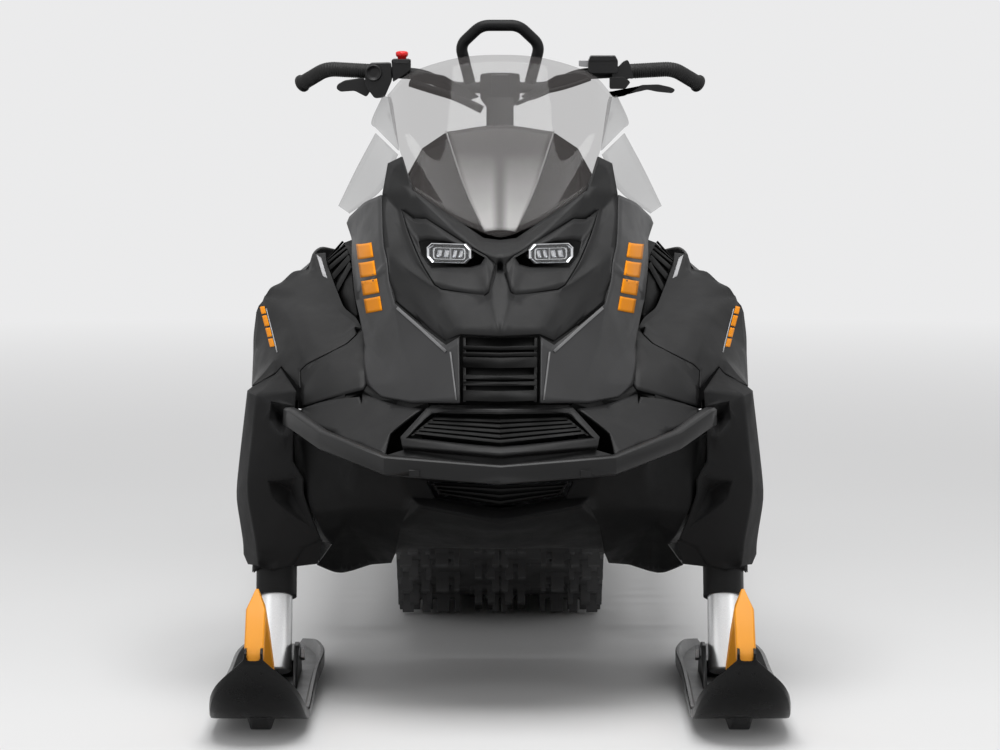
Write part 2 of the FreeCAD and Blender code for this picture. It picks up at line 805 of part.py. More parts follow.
feature("front_frame", front_frame())

# Each ski is a row of flat sections across it: along, half width, height of the sole, flange.
SHOVEL_RAD = 476
SHOVEL_Y = -1300
SKI_BASE = size("keel_deep")


def sole_height(y):
    """Height of the sole: level, then up the shovel's arc in front."""
    ahead = SHOVEL_Y - y
    return SKI_BASE + (SHOVEL_RAD - math.sqrt(SHOVEL_RAD**2 - ahead**2) if ahead > 0 else 0)


SKI_X = size("ski_stance") / 2
SKI_HALF = size("ski_wide") / 2
SKI_FRONT = -size("overall_long") / 2
SKI_REAR = SKI_FRONT + size("ski_long")
# along, half width as a share of the widest, flange height
SKI_ROWS = [
    (SKI_FRONT, 0.22, 3), (-1604, 0.48, 4), (-1572, 0.70, 6), (-1530, 0.87, 8), (-1480, 0.97, 10),
    (-1400, 1.0, 14), (SHOVEL_Y, 1.0, 18), (-1010, 0.95, 22), (-680, 0.97, 20),
    (-620, 0.97, 14), (SKI_REAR, 0.62, 4),
]


def ski():
    """A ski: a sole with turned-up edges, ruled between its sections."""
    sections = []
    for y, share, flange in SKI_ROWS:
        half, low, gauge = SKI_HALF * share, sole_height(y), size("ski_gauge")
        edge = min(7, half / 3)
        side = [(half, low + 3), (half, low + gauge + flange), (half - edge, low + gauge + flange),
                (half - 2.2 * edge, low + gauge)]
        section = [(half - edge, low)] + side
        section += [(-u, v) for u, v in reversed(section)]
        sections.append([(SKI_X + u, y, v) for u, v in section])
    return ruled(sections)


KEEL_ROWS = [(-1290, 0.6, 0.0), (-1262, 0.9, 1.0), (-760, 0.9, 1.0), (-700, 0.6, 0.0)]


def keel():
    """The ridge under the sole that the ski runs on, with its ends swept up."""
    sections = []
    for y, share, deep in KEEL_ROWS:
        half = size("keel_wide") / 2 * share
        top, low = SKI_BASE, SKI_BASE - 1 - (size("keel_deep") - 1) * deep
        corners = [(half, top), (half * 0.75, low), (-half * 0.75, low), (-half, top)]
        sections.append([(SKI_X + u, y, v) for u, v in corners])
    return ruled(sections)


both("ski", ski())
both("ski_runner", keel())

HANDLE_HALF = 17
HANDLE_FOOT_HALF = 11
HANDLE_GAUGE = 20


def ski_handle():
    """The pointed loop over the ski's tip: slim feet, a wide grip, and a leg down behind."""
    tip = SKI_FRONT + 6
    foot = sole_height(tip + 20) + size("ski_gauge")
    front = [(tip + 14, foot + 8, HANDLE_FOOT_HALF), (tip + 26, 164, HANDLE_FOOT_HALF),
             (tip + 40, 178, HANDLE_HALF), (tip + 80, 226, HANDLE_HALF),
             (tip + 112, 244, HANDLE_HALF - 4)]
    behind = [(tip + 128, 258, 3), (tip + 190, 226, HANDLE_HALF - 6),
              (tip + 300, 160, HANDLE_HALF - 4), (tip + 380, 96, HANDLE_HALF - 2),
              (-1222, sole_height(-1222) + 35, HANDLE_HALF - 2)]
    line = front + behind
    sections = []
    for k, (y, z, half) in enumerate(line):
        before, after = line[max(k - 1, 0)], line[min(k + 1, len(line) - 1)]
        ahead = Vector(0, after[0] - before[0], after[1] - before[1]).normalize()
        inside = Vector(0, ahead.z, -ahead.y) * HANDLE_GAUGE
        spot = Vector(SKI_X, y, z)
        edge = half * 0.7
        sections.append([spot + X_AXIS * -edge, spot + X_AXIS * edge,
                         spot + X_AXIS * half + inside * 0.35, spot + X_AXIS * half + inside,
                         spot + X_AXIS * -half + inside, spot + X_AXIS * -half + inside * 0.35])
    return ruled(sections)


both("ski_handle", ski_handle())

LEG_FOOT_HIGH = 66


def lower_leg():
    """The bright tube in the leg, with the block at its foot between the saddle's cheeks."""
    start, end = up_leg(30), up_leg(size("leg_inner_long"))
    bright = rod(start, end, size("leg_inner_rad"))
    foot = Part.makeBox(46, 40, LEG_FOOT_HIGH, Vector(-23, -20, -LEG_FOOT_HIGH / 2))
    foot.Placement = Placement(SKI_BOLT, LEG_TURN)
    return joined([bright, foot, saddle_bolt()])


BOLT_RAD = 8
SADDLE_HALF = 50


def saddle_bolt():
    x, y, z = SKI_BOLT
    return pole((x - SADDLE_HALF + 16, y, z), (x + SADDLE_HALF - 16, y, z), BOLT_RAD)


def ski_saddle():
    """Two cheeks on the ski with the ski bolt between them, and the rubber stop."""
    x, y, z = SKI_BOLT
    base = SKI_BASE + size("ski_gauge")
    cheek_edge = [(y - 105, base), (y + 150, base), (y + 120, base + 34), (y + 26, z + 16),
                  (y - 20, z + 16), (y - 80, base + 26)]
    cheek = prism(cheek_edge, "X", x + SADDLE_HALF - 16, 8)
    other = prism(cheek_edge, "X", x - SADDLE_HALF + 8, 8)
    stop = block((x - SADDLE_HALF + 16, x + SADDLE_HALF - 16), (y + 46, y + 112), (base, base + 30))
    return joined([cheek, other, stop])


both("lower_leg", lower_leg())
both("ski_saddle", ski_saddle())

# ---------------------------------------------------------------- bodywork

# Corner spots of the body's facets on the left side: x, y, z. A panel is a quilt of flat or
# bowed patches between them, so neighbouring panels share the spots of their common edge.
BODY = {
    # brow and outer face of the nose mask, from the windshield's foot
    "corner_out": (209, -700, 947), "corner_in": (181, -735, 962),
    "screen_bend": (158, -806, 904), "screen_foot": (29, -884, 821), "screen_mid": (0, -893, 818),
    "rim_a": (218, -760, 893), "rim_b": (215, -840, 834), "rim_c": (212, -878, 805),
    "rim_d": (205, -905, 783), "rim_e": (201, -940, 749), "rim_f": (190, -990, 711),
    "ridge_a": (187, -800, 866), "ridge_b": (181, -848, 835), "ridge_c": (170, -890, 809),
    "ridge_d": (152, -940, 778), "ridge_e": (130, -992, 746),
    "brow_a": (181, -806, 868), "brow_b": (156, -842, 853), "brow_c": (134, -862, 855),
    "brow_d": (55, -942, 810), "brow_e": (24, -972, 795), "brow_f": (9, -985, 781),
    "brow_mid": (0, -985, 792), "notch_mid": (0, -965, 772), "beak_mid": (0, -1004, 764),
    # edge of the lamp pod, then the lamp's opening in it
    "pod_b": (170, -858, 837), "pod_c": (157, -902, 809), "pod_d": (142, -950, 779),
    "pod_e": (118, -1000, 745), "pod_f": (105, -1014, 738), "pod_g": (28, -1048, 729),
    "pod_h": (19, -1045, 736), "pod_i": (9, -1000, 766),
    "lid_a": (148, -898, 815), "lid_b": (128, -908, 820), "lid_c": (89, -935, 817),
    "lid_d": (55, -955, 806), "lid_e": (26, -975, 791), "sill_d": (35, -988, 778),
    "sill_c": (53, -985, 773), "sill_b": (124, -958, 771), "sill_a": (142, -925, 793),
    # cheek under the pod and the plate down to the nose vent
    "flare_a": (202, -896, 792), "flare_b": (181, -932, 776), "flare_c": (120, -1008, 733),
    "cheek_a": (193, -962, 731), "cheek_b": (161, -984, 731), "cheek_c": (105, -1036, 717),
    "cheek_d": (71, -1125, 666), "cheek_e": (97, -1112, 653), "cheek_f": (141, -1046, 678),
    "cheek_g": (190, -980, 714), "nose_mid": (0, -1160, 666),
    # hood
    "hood_top": (282, -595, 841), "hood_a": (288, -590, 827), "hood_b": (276, -650, 800),
    "hood_c": (275, -720, 764), "hood_d": (267, -815, 707), "hood_e": (257, -872, 674),
    "hood_f": (247, -930, 629), "hood_g": (241, -1012, 565), "low_b": (184, -1090, 544),
    "low_c": (132, -1158, 546), "crease_a": (227, -962, 632), "crease_b": (186, -1072, 575),
    "edge_b": (175, -1046, 640), "edge_c": (153, -1102, 597), "crest_mid": (141, -1052, 676),
    "crest_end": (96, -1119, 648), "low_in": (77, -1220, 552), "frame_low": (71, -1224, 554),
    "frame_top": (73, -1134, 663),
    # side panel: its band beside the vents, its bulge, the step under it
    "side_top": (353, -540, 766), "side_knee": (361, -560, 739), "side_b": (409, -620, 719),
    "side_c": (439, -648, 695), "side_d": (450, -658, 679), "side_e": (456, -668, 651),
    "side_f": (459, -682, 593), "side_g": (461, -700, 532),
    "band_b": (334, -650, 716), "band_c": (305, -745, 679), "band_d": (268, -815, 661),
    "band_e": (254, -850, 653),
    "lip_a": (327, -535, 769), "lip_b": (324, -575, 753), "lip_c": (288, -752, 684),
    "lip_d": (263, -808, 670), "lip_e": (254, -845, 657),
    "bulge_a": (372, -785, 672), "bulge_b": (408, -812, 610),
    "under_a": (265, -842, 655), "under_b": (292, -868, 636), "under_c": (334, -880, 623),
    "under_d": (364, -880, 611), "step_a": (260, -862, 644), "step_b": (278, -885, 628),
    "step_c": (314, -905, 611), "step_d": (351, -912, 593), "step_e": (363, -912, 581),
    "step_f": (362, -940, 549),
    # shoulder, and the shelf under it that runs behind the bumper
    "sh_in": (249, -940, 606), "sh_out": (305, -975, 588), "sh_a": (359, -985, 521),
    "sh_b": (312, -1008, 538), "sh_c": (245, -1022, 556),
    "tuck_a": (228, -815, 672), "tuck_b": (222, -888, 640), "tuck_c": (220, -968, 590),
    "jaw_a": (249, -1012, 553), "jaw_b": (184, -1082, 537), "jaw_c": (134, -1150, 537),
    "jaw_d": (193, -1180, 495), "jaw_e": (218, -1140, 500), "jaw_f": (239, -1090, 515),
    "jaw_g": (247, -1052, 537), "jaw_h": (250, -1032, 547),
    "shelf_a": (365, -1000, 512), "shelf_b": (306, -1095, 486), "shelf_c": (202, -1235, 462),
    "shelf_mid": (0, -1292, 449),
    # frame of the wide grille and the lip under it
    "hem_a": (123, -1122, 540), "hem_mid": (0, -1196, 546),
    "rib_a": (132, -1168, 538), "rib_mid": (0, -1242, 544), "rib_b": (177, -1215, 492),
    "in_a": (121, -1180, 531), "in_mid": (0, -1247, 536), "in_b": (167, -1228, 491),
    "in_low": (0, -1288, 478), "chin_a": (174, -1236, 477), "chin_mid": (0, -1300, 469),
    "slot_a": (172, -1228, 471), "slot_mid": (0, -1286, 462),
    # belly: upper edge, the lit facet, the low grille with its lip, the turn under, the floor
    "bel_a": (360, -1010, 472), "bel_b": (345, -1050, 393), "bel_c": (343, -1052, 361),
    "bel_d": (326, -1035, 317), "bel_e": (304, -1000, 273),
    "wing_a": (376, -950, 472), "wing_b": (369, -985, 393), "wing_c": (364, -985, 361),
    "wing_d": (348, -975, 317), "wing_e": (330, -945, 273),
    "top_a": (303, -1085, 473), "top_b": (260, -1165, 442), "top_c": (195, -1225, 435),
    "top_mid": (0, -1270, 426), "facet": (273, -1130, 383),
    "vent_a": (170, -1222, 420), "vent_b": (158, -1218, 386), "vent_c": (141, -1244, 373),
    "mesh_a": (130, -1226, 415), "mesh_b": (115, -1222, 383), "mesh_mid": (0, -1250, 413),
    "mesh_low": (0, -1246, 365), "tray_mid": (0, -1274, 349),
    "turn_a": (275, -1085, 329), "turn_b": (177, -1150, 328), "turn_mid": (0, -1190, 315),
    "foot_a": (336, -900, 224), "foot_b": (315, -880, 212), "foot_c": (289, -880, 206),
    "foot_d": (271, -880, 210), "foot_e": (236, -900, 224), "foot_f": (198, -915, 229),
    "foot_g": (187, -930, 253), "foot_mid": (0, -960, 258),
    "floor_a": (336, -600, 262), "floor_b": (190, -560, 262), "floor_mid": (0, -560, 262),
    # leg cover: front face with the bumper's pocket and a scoop, outer side, ledge, lower lip
    "cov_a": (439, -975, 540), "cov_b": (366, -1000, 553), "cov_c": (369, -1010, 527),
    "cov_d": (371, -1030, 470), "cov_e": (372, -1040, 430), "cov_f": (355, -1047, 398),
    "cov_g": (355, -1047, 370), "cov_h": (338, -1037, 325), "cov_i": (322, -1012, 282),
    "out_b": (455, -998, 397), "out_c": (454, -1000, 359), "out_d": (437, -1010, 271),
    "low_a": (438, -1008, 254), "low_d": (353, -1010, 267),
    "lobe_a": (450, -1003, 216), "lobe_b": (371, -1003, 236),
    "rear_a": (454, -860, 546), "rear_b": (462, -870, 540), "rear_c": (484, -875, 350),
    "rear_d": (470, -880, 265), "rear_e": (469, -885, 232), "rear_f": (452, -900, 214),
    "ledge_b": (411, -850, 569), "ledge_c": (400, -850, 581),
    "pocket_a": (413, -1006, 533), "pocket_b": (416, -1006, 500), "pocket_c": (391, -1030, 472),
    "pocket_in": (396, -972, 502),
    "scoop_a": (420, -1012, 391), "scoop_b": (366, -1032, 399), "scoop_c": (410, -1012, 358),
    "scoop_d": (385, -1016, 336), "scoop_e": (342, -1022, 308), "scoop_in": (378, -985, 372),
}
# How far the middle of an edge between two spots stands off the straight line.
BOWS = {
    ("hood_top", "rim_a"): (2, -7, 7), ("hood_b", "rim_b"): (4, -8, 8),
    ("hood_c", "rim_c"): (4, -8, 6), ("hood_d", "rim_d"): (3, -6, 4), ("hood_d", "rim_e"): (3, -6, 4),
    ("hood_f", "hood_g"): (4, 0, 0), ("hood_g", "low_b"): (2, -5, -9),
    ("low_b", "low_c"): (0, -4, -3),
    ("side_knee", "side_b"): (4, 0, 9), ("side_b", "side_c"): (5, 0, 4),
    ("side_d", "side_e"): (3, 0, 2), ("side_e", "side_f"): (2, 0, 0),
    ("band_b", "side_b"): (8, -22, 8), ("band_c", "side_c"): (8, -26, 16),
    ("band_c", "bulge_a"): (4, -12, 10), ("bulge_a", "side_e"): (14, -24, 6),
    ("bulge_b", "side_f"): (14, -22, 0), ("bulge_a", "bulge_b"): (4, -8, 4),
    ("bulge_a", "under_c"): (0, -8, 0), ("bulge_b", "under_d"): (4, -4, 0),
    ("step_c", "sh_out"): (0, -10, 4), ("sh_out", "sh_b"): (0, -8, 2), ("sh_in", "sh_out"): (0, -6, 4),
    ("step_f", "sh_out"): (4, -10, 4), ("step_f", "sh_a"): (0, -6, 0), ("sh_in", "sh_c"): (0, -4, 6),
    ("step_a", "sh_in"): (0, -4, 4),
    ("jaw_a", "jaw_b"): (4, -6, 0), ("jaw_b", "jaw_c"): (2, -6, 0), ("jaw_g", "jaw_a"): (2, -4, 0),
    ("jaw_f", "jaw_b"): (6, -8, -2), ("jaw_e", "jaw_b"): (8, -10, -4), ("jaw_d", "jaw_c"): (4, -4, 0),
    ("foot_a", "turn_a"): (0, -8, -8), ("foot_f", "turn_b"): (0, -12, -12),
    ("foot_mid", "turn_mid"): (0, -12, -12), ("facet", "turn_a"): (0, -10, 0),
    ("vent_b", "turn_b"): (0, -8, 0), ("tray_mid", "turn_mid"): (0, -10, -6),
    ("bel_c", "bel_d"): (3, -5, 0), ("bel_d", "bel_e"): (3, -5, 0),
    ("foot_b", "foot_c"): (0, 0, -2), ("out_b", "rear_c"): (5, -4, 0),
    ("cov_a", "rear_b"): (6, -6, 2), ("out_c", "rear_c"): (5, -4, 0), ("out_d", "rear_d"): (6, -6, 0),
    ("scoop_b", "scoop_in"): (0, 6, 4), ("scoop_a", "scoop_in"): (0, 6, 4),
    ("scoop_c", "scoop_in"): (0, 4, -3), ("scoop_d", "scoop_in"): (0, 5, -4),
}
SHUT_GAP = 1.5


def seam(a, b, fine):
    """Points from one spot to another: straight, plus the bow of that edge."""
    one, two = Vector(*BODY[a]), Vector(*BODY[b])
    bow = Vector(*BOWS.get((a, b), BOWS.get((b, a), (0, 0, 0))))
    steps = [k / fine for k in range(fine + 1)]
    return [one + (two - one) * t + bow * (4 * t * (1 - t)) for t in steps]


def patch_grid(names, fine):
    """Points across a patch of 3 or 4 spots, between its four seams."""
    names = names + names[2:] * (4 - len(names))
    corners = [Vector(*BODY[name]) for name in names]
    low, right, top, left = (seam(names[i], names[j], fine)
                             for i, j in ((0, 1), (1, 2), (3, 2), (0, 3)))
    grid = []
    for j in range(fine + 1):
        v = j / fine
        row = []
        for i in range(fine + 1):
            u = i / fine
            flat = ((corners[0] * (1 - u) + corners[1] * u) * (1 - v)
                    + (corners[3] * (1 - u) + corners[2] * u) * v)
            row.append(low[i] * (1 - v) + top[i] * v + left[j] * (1 - u) + right[j] * u - flat)
        grid.append(row)
    return grid


def relaxed(spots, faces, held, times):
    """The spots, each moved halfway to the mean of its neighbours, apart from those held."""
    beside = [set() for _ in spots]
    for face in faces:
        for a, b in zip(face, face[1:] + face[:1]):
            beside[a].add(b)
            beside[b].add(a)
    for _ in range(times):
        spots = [
            p if k in held else (p + sum((spots[n] for n in beside[k]), Vector()) / len(beside[k])) / 2
            for k, p in enumerate(spots)
        ]
    return spots


def quilt(patches, fine=1, facing=(0, -1, 0.5), crossing=False, gap=SHUT_GAP, creases=None):
    """A panel of even thickness over patches, each given by the names of its 3 or 4 spots.

    Patches with a common edge share its points. Its open edges are pulled back by the gap, for
    the shut line to the next panel. A panel that crosses the middle includes its mirror image.
    With creases, lines of spots, the panel is smooth between them; without, it keeps its facets.
    """
    spots, faces, numbers = [], [], {}

    def number(x, y, z):
        key = (round(x, 1), round(y, 1), round(z, 1))
        if key not in numbers:
            numbers[key] = len(spots)
            spots.append(Vector(x, y, z))
        return numbers[key]

    for patch in patches:
        grid = patch_grid(patch.split(), fine)
        for row, above in zip(grid, grid[1:]):
            for k in range(fine):
                a, b, c, d = (number(*p) for p in (row[k], row[k + 1], above[k + 1], above[k]))
                faces += [f for f in ((a, b, c), (a, c, d)) if len(set(f)) == 3]
    if crossing:
        faces += [tuple(number(-spots[k].x, spots[k].y, spots[k].z) for k in f) for f in faces]
    faces = agreed(faces)

    def normal(face):
        a, b, c = (spots[k] for k in face)
        return (b - a).cross(c - a)

    if sum(normal(f).dot(Vector(*facing)) for f in faces) < 0:
        faces = [f[::-1] for f in faces]
    used = {edge for f in faces for edge in zip(f, f[1:] + f[:1])}
    rim = [(a, b) for a, b in used if (b, a) not in used]
    if creases:
        held = {k for edge in rim for k in edge}
        for line in creases:
            names = line.split()
            for a, b in zip(names, names[1:]):
                held |= {number(*p) for p in seam(a, b, fine)}
        spots = relaxed(spots, faces, held, 3)
    pulls = {}
    for f in faces:
        for a, b in zip(f, f[1:] + f[:1]):
            if (b, a) not in used:
                inward = normal(f).cross(spots[b] - spots[a]).normalize()
                pulls.setdefault(a, []).append(inward)
                pulls.setdefault(b, []).append(inward)
    for k, (one, two) in pulls.items():
        spots[k] = spots[k] + (one + two) * (gap / max(0.6, 1 + one.dot(two)))
    normals = [Vector() for _ in spots]
    for f in faces:
        for k in f:
            normals[k] = normals[k] + normal(f)
    under = len(spots)
    spots += [p - n.normalize() * size("panel_thick") for p, n in zip(spots, normals)]
    faces += [(under + a, under + c, under + b) for a, b, c in faces]
    for a, b in rim:
        faces += [(a, under + a, under + b), (a, under + b, b)]
    return polyhedron(spots, faces)


def well(ring, deep, closed=True):
    """Patches that turn in behind the edge of an opening, by deep along the machine."""
    for name in ring:
        x, y, z = BODY[name]
        BODY["back_" + name] = (x, y + deep, z)
    pairs = zip(ring, ring[1:] + ring[:1]) if closed else zip(ring, ring[1:])
    return [f"{a} {b} back_{b} back_{a}" for a, b in pairs]


def full(line):
    """A line across the machine, from its left half."""
    return [(-x, y, z) for x, y, z in reversed(line[1:])] + line


MASK = [
    "corner_out rim_a screen_bend corner_in", "rim_a ridge_a brow_a screen_bend",
    "rim_a rim_b ridge_b ridge_a", "rim_b rim_c ridge_c ridge_b", "rim_c flare_a ridge_c", "rim_c rim_d flare_a",
    "flare_a flare_b ridge_d ridge_c", "flare_b flare_c ridge_e ridge_d",
    "ridge_a ridge_b pod_b brow_a", "ridge_b ridge_c pod_c pod_b", "ridge_c ridge_d pod_d pod_c",
    "ridge_d ridge_e pod_e pod_d", "ridge_e flare_c pod_f pod_e",
    "screen_bend brow_a brow_b", "screen_bend brow_b brow_c",
    "screen_bend brow_c brow_d screen_foot", "screen_foot brow_d brow_e",
    "screen_foot brow_e brow_mid screen_mid", "brow_e brow_f brow_mid",
    "brow_f notch_mid brow_mid", "brow_f pod_i notch_mid", "pod_i beak_mid notch_mid",
    "pod_i pod_h beak_mid", "pod_h pod_g nose_mid beak_mid", "pod_g pod_f cheek_c cheek_d",
    "pod_g cheek_d nose_mid", "pod_f flare_c cheek_c",
    "flare_a rim_d rim_e flare_b", "rim_e cheek_a flare_b", "flare_b cheek_a cheek_b flare_c",
    "flare_c cheek_b cheek_c", "cheek_a cheek_g cheek_f cheek_b", "cheek_b cheek_f cheek_e cheek_c",
    "cheek_c cheek_e cheek_d",
]
LAMP_RING = ["lid_a", "lid_b", "lid_c", "lid_d", "lid_e", "sill_d", "sill_c", "sill_b", "sill_a"]
POD = [
    "brow_a pod_b lid_a brow_b", "brow_b lid_a lid_b", "brow_b lid_b brow_c", "brow_c lid_b lid_c",
    "brow_c lid_c lid_d brow_d", "brow_d lid_d lid_e brow_e", "brow_e lid_e pod_i brow_f",
    "pod_b pod_c sill_a lid_a", "pod_c pod_d sill_a", "pod_d pod_e sill_b sill_a",
    "pod_e pod_f sill_b", "pod_f pod_g sill_c sill_b", "pod_g pod_h sill_d sill_c",
    "pod_h pod_i lid_e sill_d",
]
pod = quilt(POD + well(LAMP_RING, 36))
feature("nose_mask", Part.Compound([quilt(MASK, crossing=True), pod, mirror(pod)]))

# Outline of a lamp's front across and up, and where it stands along the machine at x = 92.
LAMP_EDGE = [(134, 790), (134, 804), (126, 813), (90, 811), (60, 801), (50, 792), (50, 784),
             (61, 777), (122, 776)]
LAMP_Y = -944
LAMP_DEEP = 26


def lamp_unit():
    """A lamp as deep as its well, its front swept back towards the side."""
    front = [(x, LAMP_Y + 0.38 * (x - 92), z) for x, z in LAMP_EDGE]
    return ruled([front, [(x, y + LAMP_DEEP, z) for x, y, z in front]])


sides("headlights", lamp_unit())

HOOD = [
    "hood_top hood_a hood_b", "hood_top hood_b rim_b rim_a", "hood_b hood_c rim_c rim_b",
    "hood_c hood_d rim_d rim_c", "hood_d rim_e rim_d", "hood_d crease_a rim_f rim_e",
    "crease_a edge_b rim_f", "crease_a crease_b edge_c edge_b", "crease_b low_b low_c edge_c",
    "hood_d hood_e crease_a", "hood_e hood_f crease_a", "hood_f hood_g crease_b crease_a",
    "hood_g low_b crease_b", "rim_f edge_b crest_mid", "edge_b edge_c crest_end crest_mid",
    "edge_c low_c low_in crest_end", "crest_end low_in frame_low frame_top",
]
sides("hood_panels", quilt(HOOD, 2))

SIDE = [
    "side_top lip_a lip_b band_b", "lip_b lip_c band_c band_b", "lip_c lip_d band_d band_c",
    "lip_d lip_e band_e band_d",
    "side_top band_b side_knee", "side_knee band_b side_b", "band_b band_c side_c side_b",
    "band_c bulge_a side_c", "side_c bulge_a side_e side_d", "band_c band_d under_c bulge_a", "band_d under_b under_c",
    "band_d under_a under_b", "band_d band_e under_a", "bulge_a bulge_b side_f side_e",
    "bulge_a under_c under_d bulge_b", "bulge_b rear_a side_g side_f", "bulge_b ledge_b rear_a",
    "bulge_b ledge_c ledge_b", "bulge_b under_d step_e ledge_c", "ledge_c step_e step_f",
    "under_a step_a step_b under_b", "under_b step_b step_c under_c", "under_c step_c step_d under_d",
    "under_d step_d step_e",
]
SIDE_CREASES = ["side_top band_b band_c band_d band_e", "under_a under_b under_c under_d"]
sides("side_panels", quilt(SIDE, 2, (0.5, -1, 0.5), creases=SIDE_CREASES))

FLANK = [
    [(353, -537, 766), (361, -557, 739), (409, -617, 719), (439, -645, 695), (456, -665, 651),
     (459, -679, 593), (461, -697, 532)],
    [(340, -380, 770), (352, -385, 748), (385, -395, 715), (408, -400, 680), (425, -402, 640),
     (432, -410, 560), (430, -420, 470)],
    [(300, -120, 740), (310, -120, 722), (330, -120, 690), (340, -120, 660), (346, -120, 620),
     (352, -120, 520), (350, -120, 420)],
]
sides("flank_panels", skin(FLANK, (1, 0, 0.3), size("panel_thick"), 3, 3, 1, 1))

SHOULDER = [
    "step_a sh_in sh_out step_b", "step_b sh_out step_c", "step_c sh_out step_f step_d",
    "step_d step_f step_e", "sh_out sh_in sh_c sh_b", "sh_out sh_b sh_a step_f",
    "step_a tuck_a tuck_b sh_in", "sh_in tuck_b tuck_c sh_c",
]
sides("shoulder_panels", quilt(SHOULDER, 2, creases=["step_a sh_in sh_c"]))

SHELF = [
    "sh_a shelf_a shelf_b sh_b", "sh_b shelf_b jaw_f jaw_g", "sh_b jaw_g jaw_h",
    "jaw_f shelf_b jaw_e", "jaw_e shelf_b shelf_c jaw_d",
    "jaw_a jaw_g jaw_f jaw_b", "jaw_b jaw_f jaw_e", "jaw_b jaw_e jaw_d jaw_c",
]
GRILLE_FRAME = [
    "hem_a hem_mid rib_mid rib_a",
    "rib_a rib_mid in_mid in_a", "rib_a in_a in_b rib_b", "rib_b in_b chin_a",
    "in_b in_low chin_mid chin_a", "chin_a chin_mid slot_mid slot_a",
    "slot_a slot_mid shelf_mid shelf_c",
]
shelf = quilt(SHELF, 2, gap=2.5, creases=["jaw_g jaw_f jaw_e jaw_d"])
grille_well = well(["in_mid", "in_a", "in_b", "in_low"], 28, False)
feature("front_cowl", Part.Compound([
    quilt(GRILLE_FRAME + grille_well, crossing=True), shelf, mirror(shelf)]))


def slats(rows, top, low, sweep, deep):
    """Level bars in an opening, swept back from the middle, with uprights and a back plate.

    top and low are the opening's edges: half width, middle along the machine, height at the
    ends, height in the middle. Each row is a pair of shares of the way from top to low: the
    bar's upper and lower edge. The bars' ends stand sweep further back than their middles.
    """
    def spot(share, side, behind=0.0):
        half, y, end, middle = (a + (b - a) * share for a, b in zip(top, low))
        z = end if side else middle
        return (side * half, y + abs(side) * sweep + behind, z)

    def bars(upper, lower, front, back):
        return ruled([[spot(upper, side, front), spot(upper, side, back),
                       spot(lower, side, back), spot(lower, side, front)] for side in (-1, 0, 1)])

    made = [bars(upper, lower, 0, deep) for upper, lower in rows]
    for side in (-1, 1):
        ends = []
        for share in (0, 1):
            x, y, z = spot(share, side)
            inner = x - side * 5
            ends.append([(inner, y, z), (x, y, z), (x, y + deep, z), (inner, y + deep, z)])
        made.append(ruled(ends))
    return [joined(made), bars(0, 1, deep + 4, deep + 6)]


# shares of the opening's height: two bars, a plate, two bars, a plate
NOSE_ROWS = [(0.12, 0.18), (0.22, 0.28), (0.30, 0.46), (0.58, 0.64), (0.68, 0.74), (0.82, 0.98)]
WIDE_ROWS = [(0.08 + 0.18 * k, 0.18 + 0.18 * k) for k in range(5)]
LOW_ROWS = [(0.14 + 0.30 * k, 0.26 + 0.30 * k) for k in range(3)]
feature("grilles", Part.Compound(
    slats(NOSE_ROWS, (66, -1146, 660, 660), (65, -1226, 554, 554), 16, 10)
    + slats(WIDE_ROWS, (114, -1240, 526, 530), (158, -1276, 495, 483), 60, 12)
    + slats(LOW_ROWS, (121, -1242, 410, 408), (107, -1238, 389, 371), 22, 10)))

BELLY = [
    "bel_a bel_b wing_b wing_a", "bel_b bel_c wing_c wing_b", "bel_c bel_d wing_d wing_c",
    "bel_d bel_e wing_e wing_d", "bel_a bel_b facet top_a", "top_a facet top_b",
    "bel_b bel_c facet", "bel_c bel_d turn_a facet",
    "bel_d bel_e turn_a", "top_b facet vent_b vent_a", "top_b vent_a top_c",
    "facet turn_a turn_b vent_b", "turn_b turn_mid tray_mid vent_c", "turn_b vent_c vent_b",
    "vent_b vent_c mesh_b", "vent_c tray_mid mesh_low mesh_b", "vent_a vent_b mesh_b mesh_a",
    "vent_a mesh_a mesh_mid top_mid", "vent_a top_mid top_c",
    "bel_e foot_a foot_b", "bel_e foot_b foot_c turn_a", "turn_a foot_c foot_d",
    "turn_a foot_d foot_e", "turn_a foot_e foot_f turn_b", "turn_b foot_f foot_g",
    "turn_b foot_g foot_mid turn_mid", "floor_a foot_a foot_b", "floor_a foot_b foot_c",
    "floor_a foot_c foot_d", "floor_a foot_d foot_e floor_b", "floor_b foot_e foot_f",
    "floor_b foot_f foot_g", "floor_b foot_g foot_mid floor_mid",
]
mesh_well = well(["mesh_mid", "mesh_a", "mesh_b", "mesh_low"], 30, False)
feature("belly_pan", quilt(BELLY + mesh_well, 2, (0, -1, -0.5), crossing=True))

